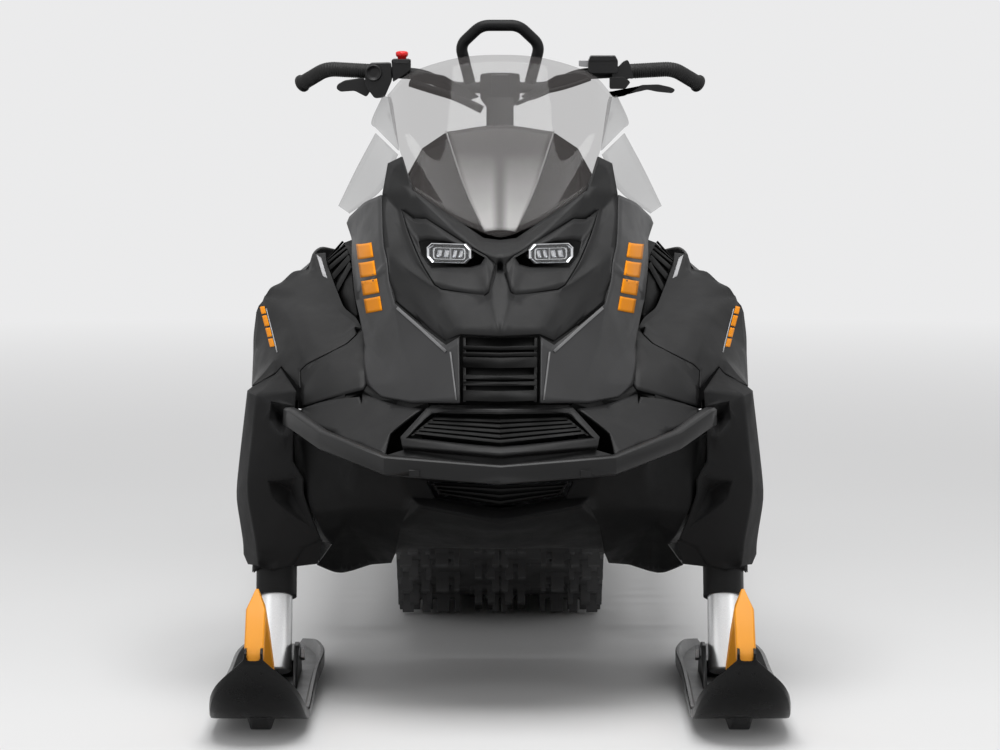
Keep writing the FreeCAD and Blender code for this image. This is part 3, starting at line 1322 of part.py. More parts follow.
COVER = [
    "cov_a cov_b cov_c pocket_a", "pocket_a cov_c pocket_in", "pocket_a pocket_in pocket_b",
    "pocket_b pocket_in pocket_c", "cov_c cov_d pocket_c pocket_in", "cov_a pocket_a pocket_b out_b",
    "pocket_b pocket_c scoop_a out_b", "pocket_c cov_d cov_e scoop_a", "cov_e cov_f scoop_b scoop_a",
    "cov_f cov_g scoop_b", "scoop_a scoop_b scoop_in", "scoop_a scoop_in scoop_c",
    "scoop_c scoop_in scoop_d", "scoop_b cov_g scoop_in", "cov_g cov_h scoop_e scoop_in",
    "scoop_d scoop_in scoop_e", "out_b scoop_a scoop_c out_c", "out_c scoop_c scoop_d out_d",
    "scoop_e cov_h cov_i", "scoop_d scoop_e cov_i low_d", "out_d scoop_d low_d low_a",
    "low_a low_d lobe_b lobe_a", "cov_a out_b rear_c rear_b", "out_b out_c rear_c",
    "out_c out_d rear_d rear_c", "out_d low_a rear_e rear_d", "low_a lobe_a rear_f rear_e",
    "cov_a rear_b rear_a", "cov_a rear_a ledge_b", "cov_a ledge_b ledge_c cov_b",
]
COVER_CREASES = [
    "cov_b cov_a out_b out_c out_d low_a low_d", "cov_a rear_b",
    "cov_c pocket_a pocket_b pocket_c cov_d", "pocket_a pocket_in pocket_c", "cov_f scoop_b scoop_a scoop_c scoop_d scoop_e cov_h",
    "scoop_a scoop_in scoop_d",
]
sides("leg_covers", quilt(COVER, 2, (0.5, -1, 0), creases=COVER_CREASES))

# Beside the hood: a dark duct wall with slats across it, from its outer to its inner edge.
DUCT = [
    [(324, -545, 757), (320, -575, 742), (285, -740, 678), (262, -796, 660)],
    [(293, -560, 790), (280, -620, 768), (272, -735, 716), (262, -800, 672)],
    [(258, -500, 800), (246, -560, 770), (240, -660, 718), (232, -735, 674)],
]
DUCT_SLATS = 6


def duct_slats():
    """Slanting bars from the duct's outer edge up to its inner edge."""
    made = [skin(DUCT, (0.5, -1, 0.5), size("panel_thick"), 0, 1, 1, 3)]
    outer, inner = through(DUCT[0], 4), through(DUCT[1], 4)
    back = Vector(3, -9, 3)
    for k in range(DUCT_SLATS):
        a, b = outer[k + 1], inner[k]
        along = (outer[k + 2] - outer[k + 1]) * 0.45
        made.append(ruled([[p, p + along, p + along + back, p + back] for p in (a, b)]))
    return made


vents = duct_slats()
sides("side_vents", joined(vents))

# Middle line of the bumper from its end in the leg cover's pocket: x, y, z.
BUMPER = [(389, -1046, 510), (380, -1066, 508), (322, -1165, 480), (204, -1290, 449),
          (0, -1330, 437)]
BUMPER_HALF = 17
BUMPER_DEEP = 24


def bumper():
    """The bar round the nose: one eight-sided section, mitred at its corners, and two struts."""
    sections = []
    line = full(BUMPER[::-1])
    for k, (x, y, z) in enumerate(line):
        before, after = Vector(*line[max(k - 1, 0)]), Vector(*line[min(k + 1, len(line) - 1)])
        ahead = after - before
        out = Vector(ahead.y, -ahead.x, 0).normalize()
        section = []
        for deep, high in ((0, -0.82), (0, 0.82), (0.2, 1), (0.85, 1), (1, 0.8), (1, -0.8),
                           (0.85, -1), (0.2, -1)):
            spot = Vector(x, y, z + high * BUMPER_HALF) - out * (deep * BUMPER_DEEP)
            section.append(tuple(spot))
        sections.append(section)
    beam = ruled(sections)
    strut_edge = [(-1305, 432), (-1305, 443), (-877, 475), (-877, 464)]
    return joined([beam] + [prism(strut_edge, "X", x, 18) for x in (-159, 141)])


feature("front_bumper", bumper())

# ---------------------------------------------------------------- windshield and console

SCREEN = [
    [(0, -560, 1141), (0, -725, 985), (0, -884, 824)],
    [(84, -552, 1134), (92, -706, 985), (60, -862, 845)],
    [(170, -528, 1105), (158, -668, 990), (112, -836, 875)],
    [(212, -512, 1063), (192, -660, 988), (157, -806, 904)],
]
feature("windshield", skin(whole(SCREEN), (0, -1, 1), size("screen_thick"), 0, 2, 3))
WINGS = [
    [
        [(217, -505, 1064), (206, -592, 1018), (191, -698, 971)],
        [(222, -498, 1060), (244, -432, 1010), (234, -450, 997)],
    ],
    [
        [(191, -704, 963), (213, -640, 943), (285, -545, 844)],
        [(236, -458, 989), (272, -440, 922), (307, -440, 850)],
    ],
]
upper_wing = skin(WINGS[0], (0.6, -1, 0.5), size("screen_thick"), 2, 2, 2, 1)
lower_wing = skin(WINGS[1], (0.6, -1, 0.5), size("screen_thick"), 2, 2, 2, 1)
sides("deflectors", upper_wing, lower_wing)

COLUMN_RAKE = math.radians(size("column_rake"))
COLUMN = Vector(0, math.sin(COLUMN_RAKE), math.cos(COLUMN_RAKE))
BAR = Vector(0, size("bar_y"), size("bar_z"))
COLUMN_TURN = Rotation(Z_AXIS, COLUMN)
COLUMN_FOOT = 500


def on_column(down):
    """A point on the steering column's axis, a distance below the handlebar's clamp."""
    return BAR - COLUMN * down


CONSOLE = [
    [(0, -545, 1000), (0, -700, 922), (0, -868, 832)],
    [(102, -560, 974), (66, -710, 898), (29, -862, 829)],
    [(160, -600, 925), (144, -700, 874), (96, -815, 852)],
]
console_skin = skin(whole(CONSOLE), (0, -1, 1), 4, 0, 1, 2)
DASH = [
    [(0, -545, 1000), (0, -470, 975), (0, -395, 900)],
    [(102, -560, 974), (108, -465, 950), (105, -395, 888)],
    [(160, -600, 925), (172, -480, 885), (165, -395, 845)],
    [(186, -630, 890), (215, -480, 850), (215, -395, 800)],
]
dash_skin = skin(whole(DASH), (0, 1, 1), 4, 0, 1, 2)
console = joined([console_skin, dash_skin])
COLUMN_HOLE_RAD = size("column_rad") + 34
hole = rod(on_column(0), on_column(COLUMN_FOOT), COLUMN_HOLE_RAD)
feature("console", console.cut(hole))

GAUGE_EDGE = [(-532, 1006), (-479, 988), (-475, 1000), (-528, 1018)]
feature("gauge", prism(GAUGE_EDGE, "X", -62, 124))

# ---------------------------------------------------------------- tank, seat and load

def tank():
    """The tank's shell: sections across the machine, from the console to under the seat."""
    sections = []
    for y, top, half_top, shoulder, half_wide in (
            (-362, 848, 100, 780, 196), (-250, 862, 112, 790, 196), (-100, 846, 112, 770, 178),
            (38, 792, 92, 720, 128)):
        low = size("tunnel_top")
        edge = [(half_wide * 0.8, low), (half_wide, low + 60), (half_wide, shoulder),
                (half_top, top - 10), (half_top * 0.5, top)]
        edge += [(-u, v) for u, v in reversed(edge)]
        sections.append([(u, y, v) for u, v in edge])
    return ruled(sections)


feature("fuel_tank", tank())
cap = turned([(0, 8), (0, 42), (18, 42), (26, 34), (26, 8)], 16)
CAP_PLACE = Placement(Vector(0, -150, 858), Rotation(X_AXIS, -5) * Rotation(X_AXIS, Z_AXIS))
feature("fuel_cap", cap, CAP_PLACE)

SEAT_HALF = size("seat_wide") / 2
SEAT_BASE_TOP = 640
# share of the seat's length, how far its top is below the highest place, share of its width
SEAT_ROWS = [(0, -95, 0.72), (0.12, -40, 0.88), (0.4, -12, 1), (0.85, 0, 1), (1, -18, 0.86)]


def seat_base():
    """The rigid pan that the cushion sits on, on top of the tunnel."""
    front, long = size("seat_front"), size("seat_long")
    sections = []
    for y, half_low, half_top, top in ((front, 150, 118, SEAT_BASE_TOP - 30),
                                       (front + 0.4 * long, 150, 124, SEAT_BASE_TOP),
                                       (front + long, 132, 112, SEAT_BASE_TOP)):
        low = size("tunnel_top")
        edge = [(-half_low, low), (half_low, low), (half_low, low + 40), (half_top, top),
                (-half_top, top), (-half_low, low + 40)]
        sections.append([(u, y, v) for u, v in edge])
    return ruled(sections)


def seat_cushion():
    """The cushion: a closed soft block with rounded upper edges."""
    sections = []
    for share, drop, narrow in SEAT_ROWS:
        y = size("seat_front") + share * size("seat_long")
        low = SEAT_BASE_TOP - 30 + 30 * min(1, share / 0.4)
        top, half = size("seat_top") + drop, SEAT_HALF * narrow
        edge = [(half * 0.92, low), (half, low + (top - low) * 0.5), (half * 0.9, top - 16),
                (half * 0.6, top)]
        edge += [(-u, v) for u, v in reversed(edge)]
        sections.append([(u, y, v) for u, v in edge])
    return ruled(sections)


feature("seat_base", seat_base())
feature("seat_cushion", seat_cushion())

RACK_BAR = 22
RACK_TOP = 541
RACK_HALF = 201
RACK_FRONT = 830
RACK_REAR = 1440
RACK_ROWS = 5


def cargo_rack():
    """Two side rails, cross rails between them, flush on top, and feet down to the tunnel."""
    level = (RACK_TOP - RACK_BAR, RACK_TOP)
    made = [block((x, x + RACK_BAR), (RACK_FRONT, RACK_REAR), level)
            for x in (-RACK_HALF, RACK_HALF - RACK_BAR)]
    step = (RACK_REAR - RACK_FRONT - 60) / (RACK_ROWS - 1)
    for k in range(RACK_ROWS):
        y = RACK_FRONT + 30 + k * step
        made.append(block((-RACK_HALF + 5, RACK_HALF - 5), (y - RACK_BAR / 2, y + RACK_BAR / 2), level))
    for y in (RACK_FRONT + 30, RACK_REAR - 30):
        made += [block((x - 10, x + 10), (y - 10, y + 10), (size("tunnel_top"), RACK_TOP - 5))
                 for x in (-160, 160)]
    return joined(made)


feature("cargo_rack", cargo_rack())

REAR_TUBE = 13
rear_x = size("tunnel_wide") / 2 + REAR_TUBE + 1
REAR_HALF = [(rear_x, 1330, 470), (rear_x, 1470, 456), (160, 1560, 470)]
rear_path = REAR_HALF + [(-x, y, z) for x, y, z in reversed(REAR_HALF)]
feature("rear_bumper", bar(rear_path, REAR_TUBE, 45))

FLAP = [
    [(-185, 1463, 452), (0, 1463, 452), (185, 1463, 452)],
    [(-192, 1500, 400), (0, 1502, 400), (192, 1500, 400)],
    [(-200, 1560, 300), (0, 1564, 300), (200, 1560, 300)],
    [(-190, 1619, 170), (0, size("overall_long") / 2, 170), (190, 1619, 170)],
]
tongue_slot = block((-52, 52), (1480, 1620), (316, 348))
feature("snow_flap", skin(FLAP, (0, 1, 0.4), 4).cut(tongue_slot))
feature("tail_lamp", block((-110, 110), (1440, 1462), (502, 532)))

hitch = doc.addObject("PartDesign::Body", "HitchBody")
tongue = outline(hitch, "HitchEdge", "XY_Plane", [
    (f"-{WALL} + D.tunnel_gauge", 1300), (f"{WALL} - D.tunnel_gauge", 1300),
    (f"{WALL} - D.tunnel_gauge", 1370), (60, 1440), (30, 1618), (-30, 1618), (-60, 1440),
    (f"-{WALL} + D.tunnel_gauge", 1370)])
pad(hitch, "HitchPlate", tongue, "D.hitch_thick")
doc.recompute()
pin = hitch.newObject("Sketcher::SketchObject", "HitchPin")
pin.AttachmentSupport = [(plane(hitch, "XY_Plane"), "")]
pin.MapMode = "FlatFace"
pin.addGeometry(Part.Circle(Vector(0, 1600, 0), Z_AXIS, size("hitch_bore_rad")), False)
row = pin.addConstraint(Sketcher.Constraint("Radius", 0, size("hitch_bore_rad")))
pin.setExpression(f"Constraints[{row}]", "D.hitch_bore_rad")
pocket_through(hitch, "HitchBore", pin)
hitch.Placement = Placement(Vector(0, 0, 330), Rotation())
keep("hitch", hitch)

engine = primitive("Box", "EngineBlock", Placement(Vector(-size("engine_wide") / 2, -830, 300), Rotation()),
                   Length="D.engine_wide", Width="D.engine_long", Height="D.engine_high")
keep("engine", engine)

# ---------------------------------------------------------------- steering

BAR_PATH = [(-383, -248, 1073), (-333, -296, 1104), (-150, -300, 1094), (-92, -300, 1068),
            (92, -300, 1068), (150, -300, 1094), (333, -296, 1104), (383, -248, 1073)]
BAR_CORNER = 26
handlebar_bar = bar(BAR_PATH, size("bar_rad"), BAR_CORNER)
feature("handlebar", handlebar_bar)


def grip():
    """A sleeve round the bar's end, with its own bend."""
    (ex, ey, ez), (bx, by, bz), (ix, iy, iz) = BAR_PATH[::-1][:3]
    share = 0.25
    inner = (bx + (ix - bx) * share, by + (iy - by) * share, bz + (iz - bz) * share)
    line = [inner, (bx, by, bz), (ex, ey, ez)]
    return sleeve(line, size("grip_rad"), size("bar_rad") * 1.1, BAR_CORNER)


sides("grips", grip())

RISER_HALF = 26
RISER_LONG = 115


def riser():
    """The riser block under the clamp, with the column below it down to the bulkhead."""
    head = Part.makeBox(2 * RISER_HALF, 40, RISER_LONG, Vector(-RISER_HALF, -20, -RISER_LONG + 22))
    head.Placement = Placement(BAR, COLUMN_TURN)
    column = rod(on_column(RISER_LONG - 30), on_column(COLUMN_FOOT), size("column_rad"))
    return joined([head, column]).cut(handlebar_bar)


feature("handlebar_riser", riser())

LOOP_RAD = 9.5
LOOP = [(-58, -300, 1078), (-76, -310, 1150), (-36, -318, 1188), (36, -318, 1188), (76, -310, 1150),
        (58, -300, 1078)]
feature("grab_bar", bar(LOOP, LOOP_RAD, 20).cut(handlebar_bar))


def along_bar(x):
    """Height of the bar's middle at an x on the left."""
    for (ax, ay, az), (bx, by, bz) in zip(BAR_PATH, BAR_PATH[1:]):
        if ax <= x <= bx:
            share = (x - ax) / (bx - ax)
            return Vector(x, ay + (by - ay) * share, az + (bz - az) * share)
    raise ValueError("off the bar")


def control_body(x, half_x, half_y, low, high):
    spot = along_bar(x)
    return block((x - half_x, x + half_x), (spot.y - half_y, spot.y + half_y),
                 (spot.z - low, spot.z + high)).cut(handlebar_bar)


def lever(points, thick, deep):
    """A flat curved lever: a strip through points, thick up and down."""
    top = [(x, z + thick / 2) for x, _, z in points]
    low = [(x, z - thick / 2) for x, _, z in reversed(points)]
    return prism(top + low, "Y", points[0][1] - deep / 2, deep)


throttle_lever = [(-212, -345, 1072), (-250, -345, 1080), (-330, -345, 1070)]
feature("throttle_control", joined([
    control_body(-213, 26, 26, 34, 18),
    control_body(-176, 16, 22, 24, 24),
    lever(throttle_lever, 14, 12),
    block((-226, -200), (-345, -320), (1062, 1082)),
]))
KILL_TURNS = [math.pi * k / 6 for k in range(12)]
button = [(13 * math.cos(turn) - 183, 13 * math.sin(turn) - 300) for turn in KILL_TURNS]
feature("kill_switch", prism(button, "Z", 1120, 14))
brake_lever = [(220, -345, 1068), (262, -345, 1078), (330, -345, 1070), (352, -345, 1068)]
feature("brake_control", joined([
    control_body(208, 30, 27, 30, 34),
    lever(brake_lever, 12, 12),
    block((205, 232), (-345, -320), (1060, 1082)),
]))

LOOM = [(-168, -312, 1062), (-130, -325, 1050), (-80, -330, 1036), (-36, -332, 1012)]
feature("wiring_loom", bar(LOOM, 8, 40, 8))
HOSE = [(173, -318, 1074), (130, -324, 1058), (80, -328, 1048), (32, -332, 1026)]
feature("brake_hose", bar(HOSE, 4, 40, 6))

# ---------------------------------------------------------------- checks and files

doc.recompute()
for obj in doc.Objects:
    if "Invalid" in obj.State or "Error" in obj.State:
        raise RuntimeError(f"{obj.Name} failed: {obj.State}")
for label, obj in PIECES.items():
    if obj.Shape.isNull() or not obj.Shape.isValid() or not obj.Shape.Solids:
        raise RuntimeError(f"{label} has no valid solid")
os.makedirs("parts", exist_ok=True)
for label, obj in PIECES.items():
    obj.Shape.exportStep(f"parts/{label}.step")
print(len(PIECES), "sub-parts")
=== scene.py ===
"""Finishes and fine pieces for a utility snowmobile with telescopic ski legs.

Metres, +Z up, the machine faces -Y and +X is the rider's left. The construction comes packed; this
file gives each of its nodes a finish and soft edges, and adds what is too fine or too soft for it.
"""

import json
import math

import bmesh
import bpy
import numpy as np
from mathutils import Matrix, Vector

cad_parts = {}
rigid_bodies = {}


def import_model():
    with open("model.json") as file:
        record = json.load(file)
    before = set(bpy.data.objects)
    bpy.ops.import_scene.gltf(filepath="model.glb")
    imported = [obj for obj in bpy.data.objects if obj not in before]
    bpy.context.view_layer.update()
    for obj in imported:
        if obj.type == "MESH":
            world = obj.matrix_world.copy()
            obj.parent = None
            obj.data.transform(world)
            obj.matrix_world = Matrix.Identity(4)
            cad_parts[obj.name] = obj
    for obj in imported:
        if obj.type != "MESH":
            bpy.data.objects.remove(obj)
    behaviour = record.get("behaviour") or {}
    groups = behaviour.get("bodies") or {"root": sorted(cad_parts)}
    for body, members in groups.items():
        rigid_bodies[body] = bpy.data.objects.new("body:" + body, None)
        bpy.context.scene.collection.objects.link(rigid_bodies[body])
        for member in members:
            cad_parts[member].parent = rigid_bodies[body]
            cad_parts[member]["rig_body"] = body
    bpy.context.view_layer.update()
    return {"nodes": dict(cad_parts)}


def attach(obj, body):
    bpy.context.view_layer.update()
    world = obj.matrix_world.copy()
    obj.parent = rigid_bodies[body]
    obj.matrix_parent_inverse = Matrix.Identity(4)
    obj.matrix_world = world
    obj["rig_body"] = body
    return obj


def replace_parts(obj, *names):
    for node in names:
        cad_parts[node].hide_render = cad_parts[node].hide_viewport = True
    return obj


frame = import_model()
NODES = frame["nodes"]


def stands_for(made, name):
    """The piece takes the place of a node, on its body."""
    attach(made, NODES[name]["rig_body"])
    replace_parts(made, name)
    return made


def settle(made, body):
    """The piece rides on a body."""
    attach(made, body)
    return made


def new_object(name, data):
    """An object of the scene that holds this data."""
    made = bpy.data.objects.new(name, data)
    bpy.context.collection.objects.link(made)
    return made


def modify(made, name, kind, **settings):
    """Adds a modifier with its settings."""
    added = made.modifiers.new(name, kind)
    for key, value in settings.items():
        setattr(added, key, value)


def both_sides():
    """1 and the word for the left side, then -1 and the word for the right one."""
    return (1, "left"), (-1, "right")


# ---------------------------------------------------------------- finishes


def node_tree(name):
    """A new material with its node tree, its Principled shader and its Object coordinates."""
    made = bpy.data.materials.new(name)
    made.use_nodes = True
    tree = made.node_tree
    return made, tree, tree.nodes["Principled BSDF"], add_node(tree, "TexCoord", {}).outputs["Object"]


def feed(tree, node, sockets):
    """Gives each of these input sockets a value, or links another node's output to it."""
    for name, value in sockets.items():
        socket = node.inputs[name]
        if isinstance(value, bpy.types.NodeSocket):
            tree.links.new(value, socket)
        elif isinstance(value, tuple) and len(value) == 3 and socket.type == "RGBA":
            socket.default_value = (*value, 1.0)
        else:
            socket.default_value = value


def add_node(tree, kind, sockets, **settings):
    node = tree.nodes.new("ShaderNode" + kind)
    for key, value in settings.items():
        setattr(node, key, value)
    feed(tree, node, sockets)
    return node


def calculated(tree, operation, *values):
    """The result of a Math node."""
    return add_node(tree, "Math", dict(enumerate(values)), operation=operation).outputs["Value"]


def noise(tree, vector, scale, detail, roughness=0.5):
    return add_node(tree, "TexNoise", {"Scale": scale, "Detail": detail, "Roughness": roughness,
                                       "Vector": vector}).outputs["Fac"]


def spread(tree, value, low, high, start=0.3, end=0.7):
    """value from start to end becomes low to high."""
    return add_node(tree, "MapRange", {"From Min": start, "From Max": end, "To Min": low, "To Max": high,
                                       "Value": value}).outputs["Result"]


def blend_colours(tree, share, one, two):
    """A Mix node's colours are its sockets 6 and 7."""
    return add_node(tree, "Mix", {6: one, 7: two, "Factor": share}, data_type="RGBA").outputs[2]


def mottled(tree, value, colour, shade):
    """The colour, and its darker shade where the value is low."""
    return blend_colours(tree, spread(tree, value, 0.0, 1.0), tuple(c * shade for c in colour), colour)


def bump(tree, height, strength, distance):
    return add_node(tree, "Bump", {"Strength": strength, "Distance": distance,
                                   "Height": height}).outputs["Normal"]


def grained(name, colour, rough, grain, grain_scale=1400.0, shade=0.75, gloss=0.5):
    """Moulded or coated stuff: a fine grain, slow patches of tone, and worn and dusty roughness."""
    made, tree, shader, place = node_tree(name)
    feed(tree, shader, {
        "Base Color": mottled(tree, noise(tree, place, 6.0, 4.0), colour, shade),
        "Roughness": spread(tree, noise(tree, place, 22.0, 5.0, 0.65), rough - 0.06, rough + 0.06),
        "Normal": bump(tree, noise(tree, place, grain_scale, 2.0), grain, 0.0004),
        "Specular IOR Level": gloss,
    })
    return made


def brushed(name, colour, rough, stretch=(1.0, 1.0, 30.0)):
    """Bright metal with fine lines: noise drawn out along one direction."""
    made, tree, shader, place = node_tree(name)
    mapping = add_node(tree, "Mapping", {"Scale": stretch, "Vector": place})
    lines = noise(tree, mapping.outputs["Vector"], 60.0, 4.0)
    feed(tree, shader, {
        "Base Color": mottled(tree, lines, colour, 0.8),
        "Roughness": spread(tree, lines, rough - 0.07, rough + 0.07),
        "Normal": bump(tree, lines, 0.12, 0.0003),
        "Metallic": 1.0,
    })
    return made


def clear(name, tint, rough, cover):
    """A clear tinted sheet: each of its two faces covers a share of what is behind it."""
    made, tree, shader, place = node_tree(name)
    haze = noise(tree, place, 9.0, 3.0)
    feed(tree, shader, {"Base Color": mottled(tree, haze, tint, 0.93),
                        "Roughness": spread(tree, haze, rough, rough + 0.03), "Alpha": cover})
    return made


BODY_BLACK = grained("body_black", (0.011, 0.011, 0.0113), 0.50, 0.2, gloss=0.20)
BELLY_BLACK = grained("belly_black", (0.005, 0.005, 0.0052), 0.52, 0.2, gloss=0.10)
COVER_BLACK = grained("cover_black", (0.020, 0.020, 0.0204), 0.60, 0.2, gloss=0.05)
# pale gray for painted highlights along the hood's creases
CREASE_HIGHLIGHT_GRAY = grained("painted_crease_highlight", (0.20, 0.20, 0.203), 0.4, 0.1, gloss=0.4)
BODY_GRAY = grained("body_gray", (0.034, 0.034, 0.035), 0.44, 0.2, gloss=0.30)
VENT_BLACK = grained("vent_black", (0.006, 0.006, 0.006), 0.55, 0.2, gloss=0.15)
FRAME_BLACK = grained("frame_black", (0.009, 0.009, 0.0093), 0.40, 0.15, 900.0, gloss=0.16)
BUMPER_BLACK = grained("bumper_black", (0.009, 0.009, 0.0093), 0.36, 0.15, 900.0, gloss=0.28)
TUNNEL_BLACK = grained("tunnel_black", (0.018, 0.018, 0.019), 0.42, 0.2, 700.0, gloss=0.35)
RUBBER = grained("rubber", (0.010, 0.010, 0.010), 0.62, 0.3, 600.0, gloss=0.2)
TRACK_RUBBER = grained("track_rubber", (0.075, 0.075, 0.076), 0.62, 0.35, 500.0, gloss=0.3)
# a lighter gray for the ski's upward faces: painted light from above
SKI_TOP_PAINTED_LIGHT = grained("ski_top_painted_light", (0.11, 0.11, 0.112), 0.42, 0.1, 500.0)
KEEL_GRAY = grained("keel_gray", (0.045, 0.045, 0.046), 0.45, 0.1, 500.0)
SKI_BLACK = grained("ski_black", (0.004, 0.004, 0.0042), 0.30, 0.1, 500.0, gloss=0.18)
HANDLE_ORANGE = grained("handle_orange", (0.92, 0.36, 0.020), 0.42, 0.1, 900.0, shade=0.92, gloss=0.3)
DECAL_ORANGE = grained("decal_orange", (0.90, 0.30, 0.006), 0.45, 0.05, 900.0, shade=0.94, gloss=0.1)
DECAL_GRAY = grained("decal_gray", (0.42, 0.42, 0.43), 0.35, 0.05, 900.0, shade=0.94)
BUTTON_RED = grained("button_red", (0.75, 0.006, 0.006), 0.3, 0.05, 900.0, shade=0.9)
LEG_BRIGHT = brushed("leg_bright", (0.90, 0.905, 0.91), 0.40, (30.0, 30.0, 1.0))
ALLOY = brushed("alloy", (0.55, 0.56, 0.58), 0.38)
STEEL = brushed("steel", (0.45, 0.45, 0.46), 0.35)
SPRING_PAINT = grained("spring_paint", (0.30, 0.31, 0.33), 0.35, 0.1)
SCREEN = clear("clear_screen", (0.060, 0.052, 0.050), 0.05, 0.23)
SHIELD = clear("deflector_sheet", (0.15, 0.15, 0.15), 0.10, 0.33)
LENS = clear("lamp_lens", (0.60, 0.61, 0.62), 0.03, 0.10)
CHROME = brushed("lamp_chrome", (0.85, 0.86, 0.88), 0.12, (1.0, 1.0, 1.0))
LAMP_PALE = grained("lamp_pale", (0.62, 0.63, 0.65), 0.25, 0.05)
TAIL_RED = grained("tail_red", (0.35, 0.008, 0.008), 0.15, 0.02)
GRIP_RUBBER = grained("grip_rubber", (0.009, 0.009, 0.009), 0.55, 0.25, 900.0, gloss=0.3)
CONTROL_BLACK = grained("control_black", (0.009, 0.009, 0.0095), 0.42, 0.15, 900.0, gloss=0.35)
SEAT_VINYL = grained("seat_vinyl", (0.014, 0.014, 0.0145), 0.5, 0.5, 420.0, gloss=0.35)
DISPLAY = grained("display", (0.006, 0.006, 0.007), 0.1, 0.0)
CONSOLE_BLACK = grained("console_black", (0.010, 0.0085, 0.008), 0.45, 0.0, gloss=0.12)
# pale gray for thin pieces that stand for painted highlights on the console's bevelled edges
CONSOLE_EDGE_HIGHLIGHT = grained("painted_edge_highlight", (0.46, 0.455, 0.45), 0.34, 0.1, shade=0.9)

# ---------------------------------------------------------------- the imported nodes

# finish: the nodes that have it
FINISHES = [
    (BELLY_BLACK, "belly_pan"),
    (COVER_BLACK, "leg_covers"),
    (BODY_BLACK, "front_cowl nose_mask side_panels flank_panels shoulder_panels "
                 "fuel_tank fuel_cap seat_base idler_wheels"),
    (CONSOLE_BLACK, "console"),
    (CONTROL_BLACK, "throttle_control brake_control"),
    (BUMPER_BLACK, "front_bumper"),
    (BODY_GRAY, "hood_panels"),
    (VENT_BLACK, "grilles side_vents rail_sliders drive_axle"),
    (FRAME_BLACK, "upper_legs front_frame rear_bumper cargo_rack hitch handlebar "
                  "handlebar_riser grab_bar front_arm rear_arm ski_saddle_left ski_saddle_right"),
    (TUNNEL_BLACK, "tunnel running_boards"),
    (RUBBER, "snow_flap grips wiring_loom brake_hose"),
    (TRACK_RUBBER, "track"),
    (SKI_BLACK, "ski_left ski_right ski_runner_left ski_runner_right"),
    (HANDLE_ORANGE, "ski_handle_left ski_handle_right"),
    (BUTTON_RED, "kill_switch"),
    (LEG_BRIGHT, "lower_leg_left lower_leg_right"),
    (ALLOY, "slide_rails shock_absorbers engine"),
    (STEEL, "rear_axle"),
    (SPRING_PAINT, "springs"),
    (SCREEN, "windshield"),
    (SHIELD, "deflectors"),
    (LENS, "headlights"),
    (TAIL_RED, "tail_lamp"),
    (SEAT_VINYL, "seat_cushion"),
    (DISPLAY, "gauge"),
]


def soften(node, width, segments=2):
    """Joins the node's loose triangles, rounds its sharp edges and shades the rest smooth."""
    node.data.polygons.foreach_set("use_smooth", [True] * len(node.data.polygons))
    modify(node, "weld", "WELD", merge_threshold=NODE_DOUBLES)
    modify(node, "edge", "BEVEL", width=width, segments=segments, limit_method="ANGLE",
           angle_limit=SHARP_ANGLE, harden_normals=True, use_clamp_overlap=True)


NODE_DOUBLES = 0.00005
SHARP_ANGLE = math.radians(32)
EDGE_WIDTH, EDGE_STEP_COUNT = 0.0015, 2
EDGE_WIDTHS = {"springs": 0.0006, "front_bumper": 0.0045}
EDGE_STEPS = {"front_bumper": 1}
for finish, names in FINISHES:
    for name in names.split():
        node = NODES[name]
        node.data.materials.clear()
        node.data.materials.append(finish)
        soften(node, EDGE_WIDTHS.get(name, EDGE_WIDTH), EDGE_STEPS.get(name, EDGE_STEP_COUNT))

# ---------------------------------------------------------------- surfaces


def mesh_piece(name, spots, faces, *finishes, smooth=True):
    """An object at the origin from an array of spots, in metres, and an array or list of faces."""
    mesh = bpy.data.meshes.new(name)
    faces = faces if isinstance(faces, list) else faces.tolist()
    mesh.from_pydata(np.reshape(spots, (-1, 3)).tolist(), [], faces)
    mesh.polygons.foreach_set("use_smooth", np.full(len(mesh.polygons), smooth))
    mesh.update()
    for finish in finishes:
        mesh.materials.append(finish)
    return new_object(name, mesh)


def read_spots(mesh):
    """A mesh's vertices as rows of x, y, z."""
    spots = np.empty(len(mesh.vertices) * 3)
    mesh.vertices.foreach_get("co", spots)
    return spots.reshape(-1, 3)


def read_corners(mesh, count):
    """The vertex numbers of a mesh's faces, which all have count corners."""
    corners = np.empty(len(mesh.polygons) * count, int)
    mesh.polygons.foreach_get("vertices", corners)
    return corners.reshape(-1, count)


def applied(made):
    """A new mesh with the object's modifiers worked in."""
    bpy.context.view_layer.update()
    return bpy.data.meshes.new_from_object(made.evaluated_get(bpy.context.evaluated_depsgraph_get()))


def merged(mesh, reach, *steps):
    """Merges a mesh's doubles and runs further bmesh steps on it."""
    work = bmesh.new()
    work.from_mesh(mesh)
    bmesh.ops.remove_doubles(work, verts=work.verts, dist=reach)
    for step in steps:
        step(work)
    work.to_mesh(mesh)
    work.free()


def tidy(made):
    """Merges doubles and turns all faces outwards."""
    merged(made.data, 1e-6, lambda work: bmesh.ops.recalc_face_normals(work, faces=work.faces))
    return made


def grid_faces(rows, columns, ring_rows=False, ring_columns=False):
    """Four-sided faces between neighbouring spots of a grid; a ring joins its last line to its first."""
    down = rows if ring_rows else rows - 1
    across = columns if ring_columns else columns - 1
    i, j = np.meshgrid(np.arange(down), np.arange(across), indexing="ij")
    below, beside = (i + 1) % rows, (j + 1) % columns
    first, second = i * columns, below * columns
    return np.stack([first + j, second + j, second + beside, first + beside], -1).reshape(-1, 4)


